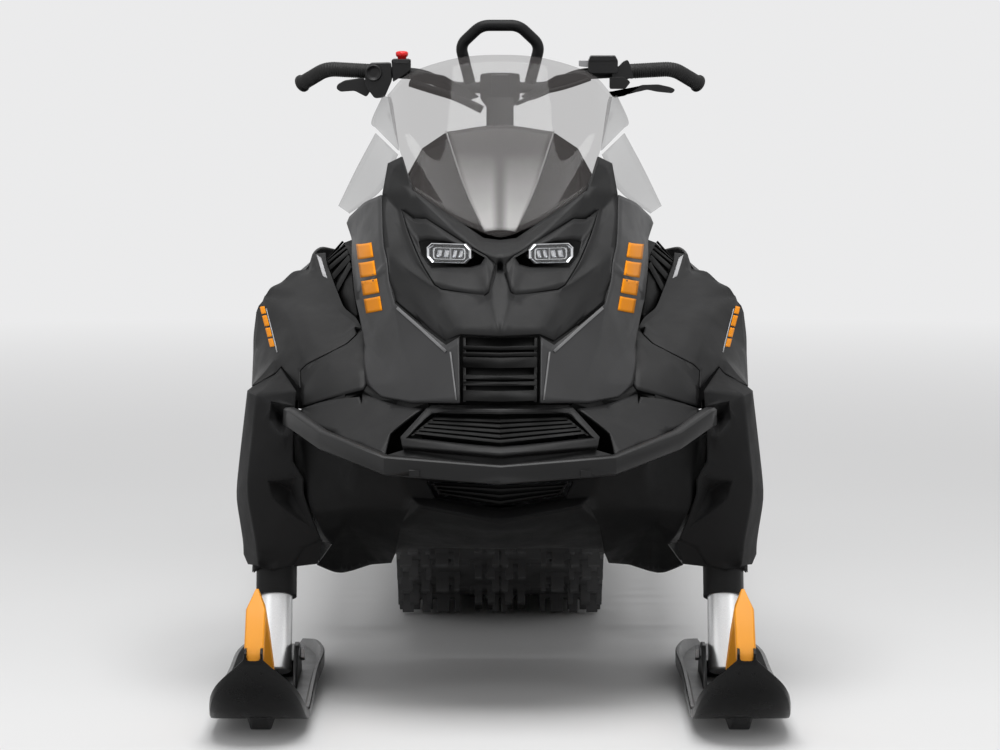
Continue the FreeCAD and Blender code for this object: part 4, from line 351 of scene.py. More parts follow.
def sheet_piece(name, spots, finish, thick=0.0, ring_columns=False, facing=None):
    """A surface through a grid of spots, turned to one side and given a wall where these are asked for."""
    if facing is not None:
        across = np.cross(spots[1:, :-1] - spots[:-1, :-1], spots[:-1, 1:] - spots[:-1, :-1])
        if (across.reshape(-1, 3).sum(0) * facing).sum() < 0:
            spots = spots[:, ::-1]
    rows, columns = spots.shape[:2]
    made = mesh_piece(name, spots, grid_faces(rows, columns, False, ring_columns), finish)
    if thick:
        add_wall(made, thick)
    return made


def add_wall(made, thick, offset=-1.0):
    """A wall behind a sheet's faces, or half on each side at offset 0."""
    modify(made, "wall", "SOLIDIFY", thickness=thick, offset=offset)


def catmull(line, steps):
    """Smooth points through a line's points a, b, c, d.

    Each span from b to c is b + (c-a)t/2 + (2a-5b+4c-d)t^2/2 + (3b-a-3c+d)t^3/2.
    """
    line = np.asarray(line, float)
    before = np.vstack([2 * line[:1] - line[1:2], line[:-1]])
    after = np.vstack([line[1:], 2 * line[-1:] - line[-2:-1]])
    a, b, c, d = before[:-1], line[:-1], line[1:], after[1:]
    t = (np.arange(steps) / steps)[None, :, None]
    a, b, c, d = (part[:, None] for part in (a, b, c, d))
    spans = b + 0.5 * ((c - a) * t + (2 * a - 5 * b + 4 * c - d) * t**2 + (3 * b - a - 3 * c + d) * t**3)
    return np.vstack([spans.reshape(-1, line.shape[1]), line[-1:]])


def smooth_sheet(lines, steps_down, steps_across):
    """A grid of spots through crossing lines, smooth in both directions."""
    lines = np.asarray(lines, float)
    down = np.stack([catmull(line, steps_down) for line in lines])
    return np.stack([catmull(down[:, k], steps_across) for k in range(down.shape[1])], 1)


def across_middle(lines):
    """Lines for the full width, from lines that start at the middle and go to the left side."""
    mirrored = [[(-x, y, z) for x, y, z in line] for line in lines[:0:-1]]
    return np.array(mirrored + lines) / 1000.0


def unit(way):
    return way / np.linalg.norm(way)


def frames(path):
    """Directions along, across and up for each spot of a path that lies nearly in one plane.

    Up is that plane's normal, less its share along the path; across is up x along.
    """
    ahead = np.gradient(path, axis=0)
    ahead /= np.linalg.norm(ahead, axis=1, keepdims=True)
    normal = np.linalg.svd(path - path.mean(0), full_matrices=True)[2][2]
    up = normal - ahead * (ahead @ normal)[:, None]
    up /= np.linalg.norm(up, axis=1, keepdims=True)
    return ahead, np.cross(up, ahead), up


def swept(name, path, radius, finish, body, around=20):
    """A round bar along a path: centre + radius(u) * (side cos v + up sin v), closed at its ends."""
    path = np.asarray(path, float)
    _, side, up = frames(path)
    radius = np.broadcast_to(np.asarray(radius, float), (len(path),))[:, None, None]
    turn = np.linspace(0, 2 * np.pi, around, endpoint=False)[None, :, None]
    spots = path[:, None] + radius * (side[:, None] * np.cos(turn) + up[:, None] * np.sin(turn))
    spots = np.concatenate([spots[:1] * 0 + path[0], spots, spots[-1:] * 0 + path[-1]])
    return settle(tidy(sheet_piece(name, spots, finish, ring_columns=True)), body)


def arcs(before, corner, after, steps):
    """The curves (1-t)^2 before + 2t(1-t) corner + t^2 after, one behind the other."""
    t = np.linspace(0, 1, steps + 1)[None, :, None]
    before, corner, after = before[:, None], corner[:, None], after[:, None]
    curves = (1 - t) ** 2 * before + 2 * t * (1 - t) * corner + t**2 * after
    return curves.reshape(-1, corner.shape[-1])


def rounded(corners, cut, steps=3):
    """A closed outline with each corner rounded off from cut before it to cut after it."""
    corners = np.asarray(corners, float)
    ends = []
    for other in (np.roll(corners, 1, 0), np.roll(corners, -1, 0)):
        long = np.linalg.norm(other - corners, axis=1, keepdims=True)
        ends.append(corners + (other - corners) / long * np.minimum(cut, long * 0.48))
    return arcs(ends[0], corners, ends[1], steps)


def stacked(name, loops, *finishes, ring=False, turn_last=False, smooth=True):
    """A closed form through loops of equal count: a ring of loops, or a stack with flat ends.

    turn_last lists the last end's corners backwards, which settles how that end splits into triangles.
    """
    loops = np.asarray(loops, float)
    rows, columns = loops.shape[:2]
    faces = grid_faces(rows, columns, ring, True).tolist()
    if not ring:
        last = list(range((rows - 1) * columns, rows * columns))
        faces += [list(range(columns)), last[::-1] if turn_last else last]
    return mesh_piece(name, loops, faces, *finishes, smooth=smooth)


def slab(name, edge, depth, finish, body, soft, segments=2):
    """A plate: the closed edge, the same edge moved by depth, a wall between them, and soft rims."""
    edge = np.asarray(edge, float)
    made = tidy(stacked(name, [edge, edge + depth], finish, turn_last=True))
    soften(made, soft, segments)
    return settle(made, body)


def turned(name, centres, axis, profile, finish, body, around=32, closed=False, smooth=True):
    """A turned piece at each centre: each profile pair (along, radius) goes once round the axis."""
    profile = np.asarray(profile, float)
    centres = np.atleast_2d(np.asarray(centres, float))
    axis = unit(np.asarray(axis, float))
    side = unit(np.cross(axis, (0.0, 1.0, 0.0) if abs(axis[1]) < 0.9 else (1.0, 0.0, 0.0)))
    up = np.cross(axis, side)
    turn = np.linspace(0, 2 * np.pi, around, endpoint=False)[None, :, None]
    out = side * np.cos(turn) + up * np.sin(turn)
    one = axis * profile[:, :1, None] + out * profile[:, 1:, None]
    spots = centres[:, None, None] + one
    faces = grid_faces(len(profile), around, closed, True)
    faces = faces + np.arange(len(centres))[:, None, None] * len(profile) * around
    return settle(tidy(mesh_piece(name, spots, faces.reshape(-1, 4), finish, smooth=smooth)), body)


# ---------------------------------------------------------------- moulded panels

# panel: its new piece's name
MOULDED = {
    "belly_pan": "belly_shell", "front_cowl": "cowl_shell", "nose_mask": "mask_shell",
    "side_panels": "side_shells", "shoulder_panels": "shoulder_shells", "leg_covers": "cover_shells",
    "hood_panels": "hood_shells", "flank_panels": "flank_shells", "console": "console_shell",
}
PANEL_GAUGE = 0.003
# two triangles become one face below these angles between their planes and off a square corner
PAIR_TURN, PAIR_SKEW = math.radians(14), math.radians(60)


def face_turns(mesh):
    """For each edge of a closed mesh, the angle between the normals of its two faces, in degrees."""
    edges = np.empty(len(mesh.loops), int)
    mesh.loops.foreach_get("edge_index", edges)
    sizes = np.empty(len(mesh.polygons), int)
    mesh.polygons.foreach_get("loop_total", sizes)
    normals = np.empty(len(mesh.polygons) * 3)
    mesh.polygons.foreach_get("normal", normals)
    owner = np.repeat(np.arange(len(sizes)), sizes)
    beside = owner[np.argsort(edges, kind="stable")].reshape(-1, 2)
    one, two = normals.reshape(-1, 3)[beside].swapaxes(0, 1)
    return np.degrees(np.arccos(np.clip((one * two).sum(1), -1, 1)))


def moulded(node_name, name, soft=9.0, crisp=25.0):
    """A smooth copy of a faceted panel: triangles paired to four-sided faces, then subdivided.

    An edge that turns by less than soft degrees is rounded away and one that turns by more than
    crisp stays; between them its sharpness goes up evenly from 0 to 2 levels.
    """
    mesh = NODES[node_name].data.copy()
    mesh.name = name
    merged(mesh, NODE_DOUBLES, lambda work: bmesh.ops.join_triangles(
        work, faces=work.faces, angle_face_threshold=PAIR_TURN, angle_shape_threshold=PAIR_SKEW))
    turns = face_turns(mesh)
    levels = 2.0 * np.clip((turns - soft) / (crisp - soft), 0, 1)
    creases = np.where(turns > crisp, 1.0, np.sqrt(levels / 10.0))
    mesh.attributes.new("crease_edge", "FLOAT", "EDGE").data.foreach_set("value", creases)
    made = new_object(name, mesh)
    modify(made, "finer", "SUBSURF", levels=2, render_levels=2)
    return stands_for(made, node_name)


# where a panel keeps gentler creases: the angles soft and crisp, in degrees
CRISPER = {"hood_panels": (4.0, 12.0), "nose_mask": (5.0, 14.0), "leg_covers": (6.0, 16.0)}
SHELLS = {node_name: moulded(node_name, name, *CRISPER.get(node_name, ()))
          for node_name, name in MOULDED.items()}
GAP_REACH = 0.016
SPOTS_PER_METRE = 5000
NODE_STEP = 100000


def islands(count, ends):
    """A number for each of count vertices, equal for those that edges join."""
    mark = np.arange(count)
    while True:
        low = np.minimum(mark[ends[:, 0]], mark[ends[:, 1]])
        after = mark.copy()
        np.minimum.at(after, ends[:, 0], low)
        np.minimum.at(after, ends[:, 1], low)
        after = after[after]
        if (after == mark).all():
            return mark
        mark = after


def shut_lines():
    """Dark strips behind the shut lines between panels.

    Every short side of a panel's wall faces is one panel thickness long; of its two ends the one
    nearer the machine's middle is under the panel. A strip goes from each stretch of such an
    under edge to the nearest under edges of other panels, where these are within reach. A panel
    is what hangs together by shared spots, since a node may hold several.
    """
    stretches, owners = [], []
    for number, node_name in enumerate(MOULDED):
        mesh = NODES[node_name].data
        spots, corners = read_spots(mesh), read_corners(mesh, 3)
        rounded_spots = np.round(spots * SPOTS_PER_METRE).astype(int)
        same = np.unique(rounded_spots, axis=0, return_inverse=True)[1].ravel()
        joined = same[corners]
        mark = islands(same.max() + 1, np.vstack([joined[:, :2], joined[:, 1:]]))[joined[:, 0]]
        faces = spots[corners]
        sides = np.roll(faces, -1, 1) - faces
        long = np.linalg.norm(sides, axis=2)
        wall = (long.min(1) < PANEL_GAUGE * 1.5) & (long.max(1) > PANEL_GAUGE * 3)
        faces, long, mark = faces[wall], long[wall], mark[wall]
        square = (np.argmin(long, 1) + np.array([[0], [1]])) % 3
        third = (np.argmin(long, 1) + 2) % 3
        row = np.arange(len(faces))
        to_third = np.linalg.norm(faces[row, square] - faces[row, third], axis=2)
        right = np.where(to_third[0] < to_third[1], square[0], square[1])
        other = square.sum(0) - right
        here, beside, far = faces[row, right], faces[row, other], faces[row, third]
        outwards = ((here - beside) * (here - MIDDLE)).sum(1)
        stretches.append(np.stack([here, far], 1)[outwards < 0])
        owners.append(mark[outwards < 0] + number * NODE_STEP)
    stretches, owners = np.concatenate(stretches), np.concatenate(owners)
    ends = stretches.reshape(-1, 3)
    both = np.repeat(owners, 2)
    apart = np.linalg.norm(ends[:, None] - ends[None], axis=2)
    apart[both[:, None] == both[None]] = 1.0
    near, reach = ends[apart.argmin(1)].reshape(-1, 2, 3), apart.min(1).reshape(-1, 2)
    joins = (reach < GAP_REACH).all(1)
    strips = np.stack([stretches[:, 0], stretches[:, 1], near[:, 1], near[:, 0]], 1)[joins]
    made = mesh_piece("shut_lines", strips, np.arange(len(strips) * 4).reshape(-1, 4), VENT_BLACK,
                      smooth=False)
    settle(made, "chassis")


MIDDLE = np.array([0.0, -0.6, 0.5])
shut_lines()


def nudge(piece, moves, full=0.006, reach=0.007):
    """Shifts what lies near a spot, on both sides: by all of the shift within full, by none past reach."""
    spots = read_spots(piece.data)
    total = np.zeros_like(spots)
    for spot, shift in moves:
        for side in ((1,) if spot[0] == 0 else (1, -1)):
            flip = np.array([side, 1, 1]) / 1000.0
            away = np.linalg.norm(spots - np.array(spot) * flip, axis=1)
            total += np.clip((reach - away) / (reach - full), 0, 1)[:, None] * np.array(shift) * flip
    piece.data.vertices.foreach_set("co", (spots + total).ravel())
    piece.data.update()


nudge(SHELLS["leg_covers"], [((450, -1003, 216), (-4, 0, 19)), ((452, -900, 214), (0, 0, 15)),
                             ((469, -885, 232), (0, 0, 9)), ((438, -1008, 254), (0, 0, 9))])
nudge(SHELLS["console"], [((0, -545, 1000), (0, 0, 6)), ((102, -560, 974), (2, 0, 20)),
                          ((160, -600, 925), (-14, 14, 42))], 0.008, 0.075)

COVER_LOBE = [(357, -1010, 268), (320, -1012, 284), (330, -1000, 238), (373, -1002, 233)]
for side, word in both_sides():
    flip = np.array([side, 1, 1]) / 1000.0
    slab("cover_lobe_" + word, rounded(COVER_LOBE, 2.0, 2) * flip, (0, 0.004, 0.001), COVER_BLACK,
         "chassis", 0.0012)
# a dark sheet inside the engine bay, behind the grilles and gaps: painted shade where the bay's inside is in
# shadow
BAY_SHADE_SHEET = [
    [(0, -600, 850), (0, -760, 700), (0, -960, 430)],
    [(190, -560, 840), (205, -720, 700), (215, -940, 430)],
    [(300, -480, 768), (325, -600, 650), (332, -860, 400)],
]
settle(sheet_piece("bay_shade_sheet", smooth_sheet(across_middle(BAY_SHADE_SHEET), 4, 4), VENT_BLACK, 0.003,
                   facing=(0, -1, 0)), "chassis")

# ---------------------------------------------------------------- screen

SCREEN_LINES = [
    [(0, -560, 1141), (0, -725, 985), (0, -884, 824)],
    [(84, -552, 1134), (92, -706, 985), (60, -862, 845)],
    [(170, -528, 1105), (158, -668, 990), (112, -836, 875)],
    [(212, -512, 1063), (192, -660, 988), (157, -806, 904)],
]
stands_for(sheet_piece("screen_sheet", smooth_sheet(across_middle(SCREEN_LINES), 10, 6), SCREEN, 0.003,
                       facing=(0, -1, 1)), "windshield")

# ---------------------------------------------------------------- track and wheels

# centre along the machine, centre height, radius: what the inside of the belt goes round
BELT_WRAPS = np.array([(-0.330, 0.335, 0.088), (0.095, 0.273, 0.230), (1.296, 0.135, 0.092)])
BELT_THICK = 0.007
ROW_COUNT = 54
CELLS = 8


def belt_frame(marks=None):
    """Inside spots of the belt with its outward and forward directions, at lengths along it.

    A belt leaves each wrap at the angle of the line to the next one less arccos(change of radius
    / distance); from the last such angle to this one it runs on the wrap's arc, then straight.
    """
    after = np.roll(BELT_WRAPS, -1, 0)
    apart = after[:, :2] - BELT_WRAPS[:, :2]
    long = np.linalg.norm(apart, axis=1)
    change = BELT_WRAPS[:, 2] - after[:, 2]
    leave = np.arctan2(apart[:, 1], apart[:, 0]) - np.arccos(change / long)
    arrive = np.roll(leave, 1)
    arcs = (leave - arrive) % (2 * np.pi) * BELT_WRAPS[:, 2]
    parts = np.stack([arcs, np.sqrt(long**2 - change**2)], 1).ravel()
    ends = np.concatenate([[0], np.cumsum(parts)])
    if marks is None:
        return ends[-1]
    marks = np.asarray(marks) % ends[-1]
    part = np.clip(np.searchsorted(ends, marks, "right") - 1, 0, len(parts) - 1)
    wrap, straight, past = part // 2, part % 2, marks - ends[part]
    angle = np.where(straight, leave[wrap], arrive[wrap] + past / BELT_WRAPS[wrap, 2])
    none = np.zeros_like(angle)
    out = np.stack([none, np.cos(angle), np.sin(angle)], -1)
    ahead = np.stack([none, -np.sin(angle), np.cos(angle)], -1)
    centre = np.stack([none, BELT_WRAPS[wrap, 0], BELT_WRAPS[wrap, 1]], -1)
    return centre + out * BELT_WRAPS[wrap, 2, None] + ahead * (straight * past)[..., None], out, ahead


PITCH = belt_frame() / ROW_COUNT
BELT_LINES = np.array([-203, -128, -97, -40, 40, 97, 128, 203]) / 1000.0
ACROSS = np.array([1.0, 0.0, 0.0])


def belt():
    """The belt's sheet, open at the drive windows between every second row of lugs."""
    marks = (np.arange(ROW_COUNT * CELLS) - 1.5) * PITCH / CELLS
    inside, out, _ = belt_frame(marks)
    spots = (inside + out * BELT_THICK)[:, None] + BELT_LINES[:, None] * ACROSS
    faces = grid_faces(len(marks), len(BELT_LINES), ring_rows=True)
    row, column = np.divmod(np.arange(len(faces)), len(BELT_LINES) - 1)
    window = ((row // CELLS) % 2 == 1) & (row % CELLS < 3) & np.isin(column, (1, 5))
    made = mesh_piece("track_belt", spots, faces[~window], TRACK_RUBBER)
    if np.array(made.data.polygons[0].normal) @ out[0] < 0:
        made.data.flip_normals()
    add_wall(made, BELT_THICK)
    return made


# from and to across the left half, in mm; the right half mirrors them
LUG_ROWS = [
    [(171, 196), (137, 156), (100, 127), (79, 91), (1.5, 17)],
    [(190, 203), (159, 180), (134, 146), (34, 51), (9, 26)],
]
WEB_ROWS = [[(79, 196)], [(134, 203)]]
MIDDLE_WEBS = [(-30, 30), (-60, 60)]
# height off the inside of the belt, half length along it, both in mm
LUG_STEPS = [(5, 13), (19, 9.5), (41.5, 7.5), (43, 6.5)]
WEB_STEPS = [(5, 11), (14, 8), (16, 6)]


def block_faces(levels, count):
    """The faces of blocks that have four corners at each of their levels."""
    one = np.vstack([grid_faces(levels, 4, ring_columns=True), [[3, 2, 1, 0]],
                     [np.arange(4) + 4 * (levels - 1)]])
    return (one + np.arange(count)[:, None, None] * levels * 4).reshape(-1, 4)


def studs(rows, middles, steps):
    """Spots and faces of tapered blocks on the belt: four corners at each step of height."""
    spots, faces, count = [], [], 0
    steps = np.array(steps) / 1000.0
    for kind in (0, 1):
        half = np.array(rows[kind])
        spans = np.vstack([half, -half[:, ::-1]] + [[m] for m in middles[kind]]) / 1000.0
        inside, out, ahead = belt_frame(np.arange(kind, ROW_COUNT, 2) * PITCH)
        ends = spans[:, [0, 0, 1, 1]]
        lean = np.array([-1, 1, 1, -1])
        narrow = (steps[0, 1] - steps[:, 1]) * 0.25
        sign = np.array([1, 1, -1, -1])
        x = ends[None, :, None, :] + (narrow[:, None] * sign)[None, None]
        along = (steps[:, 1:] * lean)[None, None]
        up = steps[None, None, :, :1]
        block = (inside[:, None, None, None] + out[:, None, None, None] * up[..., None]
                 + ahead[:, None, None, None] * along[..., None] + x[..., None] * ACROSS)
        spots.append(block.reshape(-1, 3))
        blocks = len(inside) * len(spans)
        faces.append(block_faces(len(steps), blocks) + count)
        count += blocks * len(steps) * 4
    return np.vstack(spots), np.vstack(faces)


stands_for(belt(), "track")
for piece_name, stud_set in (("track_lugs", studs(LUG_ROWS, ([], []), LUG_STEPS)),
                             ("track_webs", studs(WEB_ROWS, [[m] for m in MIDDLE_WEBS], WEB_STEPS))):
    settle(tidy(mesh_piece(piece_name, *stud_set, TRACK_RUBBER, smooth=False)), "chassis")

REAR_WHEELS = [(x, 1.296, 0.135) for x in (-0.165, -0.070, 0.070, 0.165)]
SMALL_WHEELS = [(x, y, z) for x in (-0.152, 0.152)
                for y, z in ((0.420, 0.105), (0.860, 0.105), (0.700, 0.235))]
WHEEL_RIBS = 8


def wheel_set(name, centres, radius, wide):
    """Wheels about the X axis: a rubber tyre, a disc with ribs, a hub and its bearing."""
    half, rim = wide / 2, radius - 0.011
    tyre = [(-half + 0.001, rim), (-half, radius - 0.004), (-half + 0.004, radius), (half - 0.004, radius),
            (half, radius - 0.004), (half - 0.001, rim)]
    disc = [(-half + 0.002, rim), (half - 0.002, rim), (half - 0.003, rim - 0.007), (0.004, rim - 0.011),
            (0.003, radius * 0.42), (half - 0.004, radius * 0.34), (half - 0.003, 0.016),
            (-half + 0.003, 0.016), (-half + 0.004, radius * 0.34), (-0.003, radius * 0.42),
            (-0.004, rim - 0.011), (-half + 0.003, rim - 0.007)]
    hub = [(-half + 0.001, 0.0165), (-half + 0.001, 0.0), (half - 0.001, 0.0), (half - 0.001, 0.0165)]
    turned(name + "_tyres", centres, ACROSS, tyre, RUBBER, "chassis", 40, True)
    discs = turned(name + "_discs", centres, ACROSS, disc, BODY_BLACK, "chassis", 40, True)
    turned(name + "_hubs", centres, ACROSS, hub, STEEL, "chassis", 24)
    ribs = []
    for angle in np.arange(WHEEL_RIBS) * 2 * np.pi / WHEEL_RIBS:
        radial = np.array([0.0, np.cos(angle), np.sin(angle)])
        beside = np.array([0.0, -np.sin(angle), np.cos(angle)]) * 0.0025
        ends = [radial * radius * 0.30 - beside, radial * radius * 0.30 + beside,
                radial * (rim - 0.006) + beside, radial * (rim - 0.006) - beside]
        ribs.append([[end + ACROSS * x for end in ends] for x in (-half + 0.005, half - 0.005)])
    spots = np.asarray(centres)[:, None, None, None] + np.array(ribs)
    faces = block_faces(2, len(centres) * WHEEL_RIBS)
    made = tidy(mesh_piece(name + "_ribs", spots, faces, BODY_BLACK, smooth=False))
    settle(made, "chassis")
    return discs


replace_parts(wheel_set("rear_wheels", REAR_WHEELS, 0.088, 0.024), "idler_wheels")
wheel_set("small_wheels", SMALL_WHEELS, 0.061, 0.022)


EYE_CLEAR = 0.034
COIL, WIRE, TURNS = 0.026, 0.004, 7
# turns that lie closed at each end, and spots round the wire and along a turn
CLOSED, ROUND_WIRE, PER_TURN = 0.8, 10, 24


def coil_spring(name, x, low, high):
    """A coil spring with closed end turns on a shock absorber, clear of its eyes (y, z).

    Its surface is the axis spot(u) + (COIL + WIRE cos v) outwards(u) + WIRE sin v along the axis.
    """
    low, high = np.array([x, *low]), np.array([x, *high])
    way = unit(high - low)
    low, high = low + way * EYE_CLEAR, high - way * EYE_CLEAR
    axis = unit(high - low)
    side = unit(np.cross(axis, ACROSS))
    up = np.cross(axis, side)
    u = np.linspace(0, TURNS, TURNS * PER_TURN + 1)
    share = np.clip((u - CLOSED) / (TURNS - 2 * CLOSED), 0, 1)
    rise = WIRE * 2 * np.clip(u, 0, CLOSED) + WIRE * 2 * np.clip(u - TURNS + CLOSED, 0, CLOSED)
    rise += share * (np.linalg.norm(high - low) - WIRE * 4 * CLOSED)
    angle = (u * 2 * np.pi)[:, None]
    outwards = side * np.cos(angle) + up * np.sin(angle)
    v = np.linspace(0, 2 * np.pi, ROUND_WIRE, endpoint=False)[None, :, None]
    spots = (low + axis * rise[:, None])[:, None] + outwards[:, None] * (COIL + WIRE * np.cos(v))
    spots = spots + axis * WIRE * np.sin(v)
    middle = (low + axis * rise[:, None]) + outwards * COIL
    first, last = (np.repeat(end[:, None], ROUND_WIRE, 1) for end in (middle[:1], middle[-1:]))
    made = sheet_piece(name, np.concatenate([first, spots, last]), SPRING_PAINT, ring_columns=True)
    return settle(tidy(made), "chassis")


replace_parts(coil_spring("front_spring", -0.034, (0.330, 0.092), (0.040, 0.330)), "springs")
coil_spring("middle_spring", 0.034, (0.330, 0.092), (0.560, 0.286))

# ---------------------------------------------------------------- bars and grips


def bent(points, cut):
    """A path with each inner corner rounded off from cut before it to cut after it."""
    points = np.asarray(points, float)
    before, corner, after = points[:-2], points[1:-1], points[2:]
    back = (before - corner) / np.linalg.norm(before - corner, axis=1, keepdims=True)
    on = (after - corner) / np.linalg.norm(after - corner, axis=1, keepdims=True)
    bends = arcs(corner + back * cut, corner, corner + on * cut, 8)
    return np.vstack([points[:1], bends, points[-1:]])


def mirrored_path(half):
    """The whole width of a path from its left half."""
    half = np.asarray(half, float)
    return np.vstack([half, half[::-1] * (-1, 1, 1)])


BAR_HALF = np.array([(383, -248, 1073), (333, -296, 1104), (150, -300, 1094), (92, -300, 1068)]) / 1000.0
LOOP_HALF = np.array([(58, -300, 1078), (76, -310, 1150), (36, -318, 1188)]) / 1000.0
REAR_HALF = np.array([(234, 1330, 470), (234, 1470, 456), (160, 1560, 470)]) / 1000.0
BAR_BEND = 0.020
# node: its piece's name, half path, size of its bends, radius, body
TUBES = {
    "handlebar": ("handlebar_tube", BAR_HALF, BAR_BEND, 0.011, "steering"),
    "grab_bar": ("grab_loop", LOOP_HALF, 0.016, 0.011, "steering"),
    "rear_bumper": ("rear_tube", REAR_HALF, 0.035, 0.013, "chassis"),
}
for node_name, (name, half, cut, radius, body) in TUBES.items():
    tube = swept(name, bent(mirrored_path(half), cut), radius, FRAME_BLACK, body)
    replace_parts(tube, node_name)


def along(path, spacing):
    """Evenly spaced spots along a path."""
    steps = np.linalg.norm(np.diff(path, axis=0), axis=1)
    reach = np.concatenate([[0], np.cumsum(steps)])
    marks = np.linspace(0, reach[-1], int(reach[-1] / spacing) + 1)
    return np.stack([np.interp(marks, reach, path[:, k]) for k in range(3)], 1), marks


GRIP_RADIUS, GRIP_RIB, GRIP_RIB_PITCH = 0.0142, 0.0004, 0.0042
# shares along the grip: where its ribs start and end, and from where a radius holds at its outer end
GRIP_RIBBED = (0.09, 0.93)
GRIP_END = ((0.955, 0.0152), (0.975, 0.0172), (0.995, 0.0150))
# length and radius of the collar at its inner end
GRIP_COLLAR = (0.004, 0.0152)
# share of the bar's second stretch that the grip reaches onto
GRIP_SHARE = 0.50


def grip(side, word):
    """A rubber grip on the bar's end: a thin sleeve with shallow ribs, and a flange at its end."""
    outer, corner = BAR_HALF[:2]
    inner = corner + (BAR_HALF[2] - corner) * GRIP_SHARE
    path, marks = along(bent([inner, corner, outer], BAR_BEND), 0.001)
    share = marks / marks[-1]
    ribs = GRIP_RIB * np.clip(np.sin(marks / GRIP_RIB_PITCH * 2 * np.pi) * 3, -1, 1)
    radius = GRIP_RADIUS + ribs * (share > GRIP_RIBBED[0]) * (share < GRIP_RIBBED[1])
    radius = np.where(marks < GRIP_COLLAR[0], GRIP_COLLAR[1], radius)
    for start, wide in GRIP_END:
        radius = np.where(share > start, wide, radius)
    return swept("grip_sleeve_" + word, path * (side, 1, 1), radius, GRIP_RUBBER, "steering",
                 28)


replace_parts([grip(*which) for which in both_sides()][0], "grips")

# ---------------------------------------------------------------- lamps


def lamp_piece(name, loops, finish, ring=False, smooth=False):
    """A closed form on both lamps through loops in mm, which are given for the left one."""
    loops = np.asarray(loops, float) / 1000.0
    made = stacked(name, loops, finish, ring=ring, smooth=smooth)
    other = made.data.copy()
    other.transform(Matrix.Scale(-1.0, 4, (1.0, 0.0, 0.0)))
    merged(made.data, 0.0, lambda work: work.from_mesh(other))
    bpy.data.meshes.remove(other)
    return settle(tidy(made), "chassis")


LAMP_SLOPE = 0.38
LAMP_X, LAMP_Y = 92.0, -946.0


def on_lamp(outline, out):
    """Spots of a lamp's outline (x, z), on its slanting front plane moved out by a distance."""
    x, z = np.asarray(outline, float).T
    lean = 1.0 / math.hypot(1.0, LAMP_SLOPE)
    return np.stack([x + LAMP_SLOPE * lean * out, LAMP_Y + LAMP_SLOPE * (x - LAMP_X) - lean * out, z], -1)


def drawn_in(outline, by):
    """The outline with each spot moved towards the lamp's middle by a distance."""
    outline = np.asarray(outline, float)
    way = outline - outline.mean(0)
    return outline - way / np.linalg.norm(way, axis=1, keepdims=True) * by


LAMP_RIM = [(133, 790), (133, 806), (124, 815), (62, 815), (52, 804), (52, 789), (62, 779), (124, 779)]
LAMP_FRAME = [(122, 807), (63, 807), (63, 786), (122, 786)]
LAMP_CELLS = [(117, 106), (104, 93), (88, 79), (77, 68)]
CELL_LOW, CELL_HIGH = 789, 804


def lamp_loops(*steps):
    """Loops on a lamp from pairs: an outline and how far it stands out."""
    return [on_lamp(outline, out) for outline, out in steps]


rim_loops = lamp_loops((LAMP_RIM, -6), (LAMP_RIM, 1), (drawn_in(LAMP_RIM, 2), 3),
                       (drawn_in(LAMP_RIM, 5), 0), (drawn_in(LAMP_RIM, 6), -6))
rim = lamp_piece("lamp_rims", rim_loops, CHROME, True)
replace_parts(rim, "headlights")
lamp_piece("lamp_bowls", lamp_loops((LAMP_RIM, -14), (LAMP_RIM, -9)), DISPLAY)
inner_frame = rounded(LAMP_FRAME, 5)
frame_hole = drawn_in(inner_frame, 2.6)
frame_loops = lamp_loops((inner_frame, -8), (inner_frame, -2), (frame_hole, -2), (frame_hole, -8))
lamp_piece("lamp_frames", frame_loops, CHROME, True)
for number, (near, far) in enumerate(LAMP_CELLS):
    cell = [(near, CELL_LOW), (near - 3, CELL_HIGH), (far - 1, CELL_HIGH), (far + 2, CELL_LOW)]
    cell_loops = lamp_loops((cell, -9), (drawn_in(cell, 1), -4), (drawn_in(cell, 3.5), -7))
    lamp_piece(f"lamp_cell_{number}", cell_loops, CHROME)
divider = [(92, 787), (92, 806), (89.5, 806), (89.5, 787)]
lamp_piece("lamp_dividers", lamp_loops((divider, -9), (divider, -3)), LAMP_PALE)
glass = drawn_in(LAMP_RIM, 3.5)
lamp_piece("lamp_covers", lamp_loops((glass, -1), (glass, 0.5), (drawn_in(glass, 3), 1.5)), LENS, smooth=True)

# ---------------------------------------------------------------- decals

PATCH_SPOTS = 7
IN_FRONT = -1.4
DECAL_GAUGE = 0.0004


def laid(name, patches, target, finish, stand=0.0013):
    """Thin plates on both sides that follow a panel.

    Each patch has four corners (x, z). It starts as a flat grid in front of the machine and is
    projected along Y; what misses the panel is left out.
    """
    u, v = np.meshgrid(*[np.linspace(0, 1, PATCH_SPOTS)] * 2, indexing="ij")
    u, v = u[..., None], v[..., None]
    grids = []
    for patch in patches:
        a, b, c, d = (np.array([x / 1000.0, IN_FRONT, z / 1000.0]) for x, z in patch)
        one = (a * (1 - u) + b * u) * (1 - v) + (d * (1 - u) + c * u) * v
        grids += [one, one * (-1, 1, 1)]
    faces = grid_faces(PATCH_SPOTS, PATCH_SPOTS) + np.arange(len(grids))[:, None, None] * PATCH_SPOTS**2
    flat = mesh_piece(name, np.array(grids), faces.reshape(-1, 4), finish)
    modify(flat, "wrap", "SHRINKWRAP", wrap_method="PROJECT", use_project_y=True,
           use_positive_direction=True, use_negative_direction=False, target=target, offset=stand)
    settled = applied(flat)
    bpy.data.objects.remove(flat)
    spots, corners = read_spots(settled), read_corners(settled, 4)
    landed = (spots[corners, 1] > IN_FRONT + 0.001).all(1)
    made = mesh_piece(name, spots, corners[landed], finish)
    add_wall(made, DECAL_GAUGE, 0.0)
    return settle(made, "chassis")


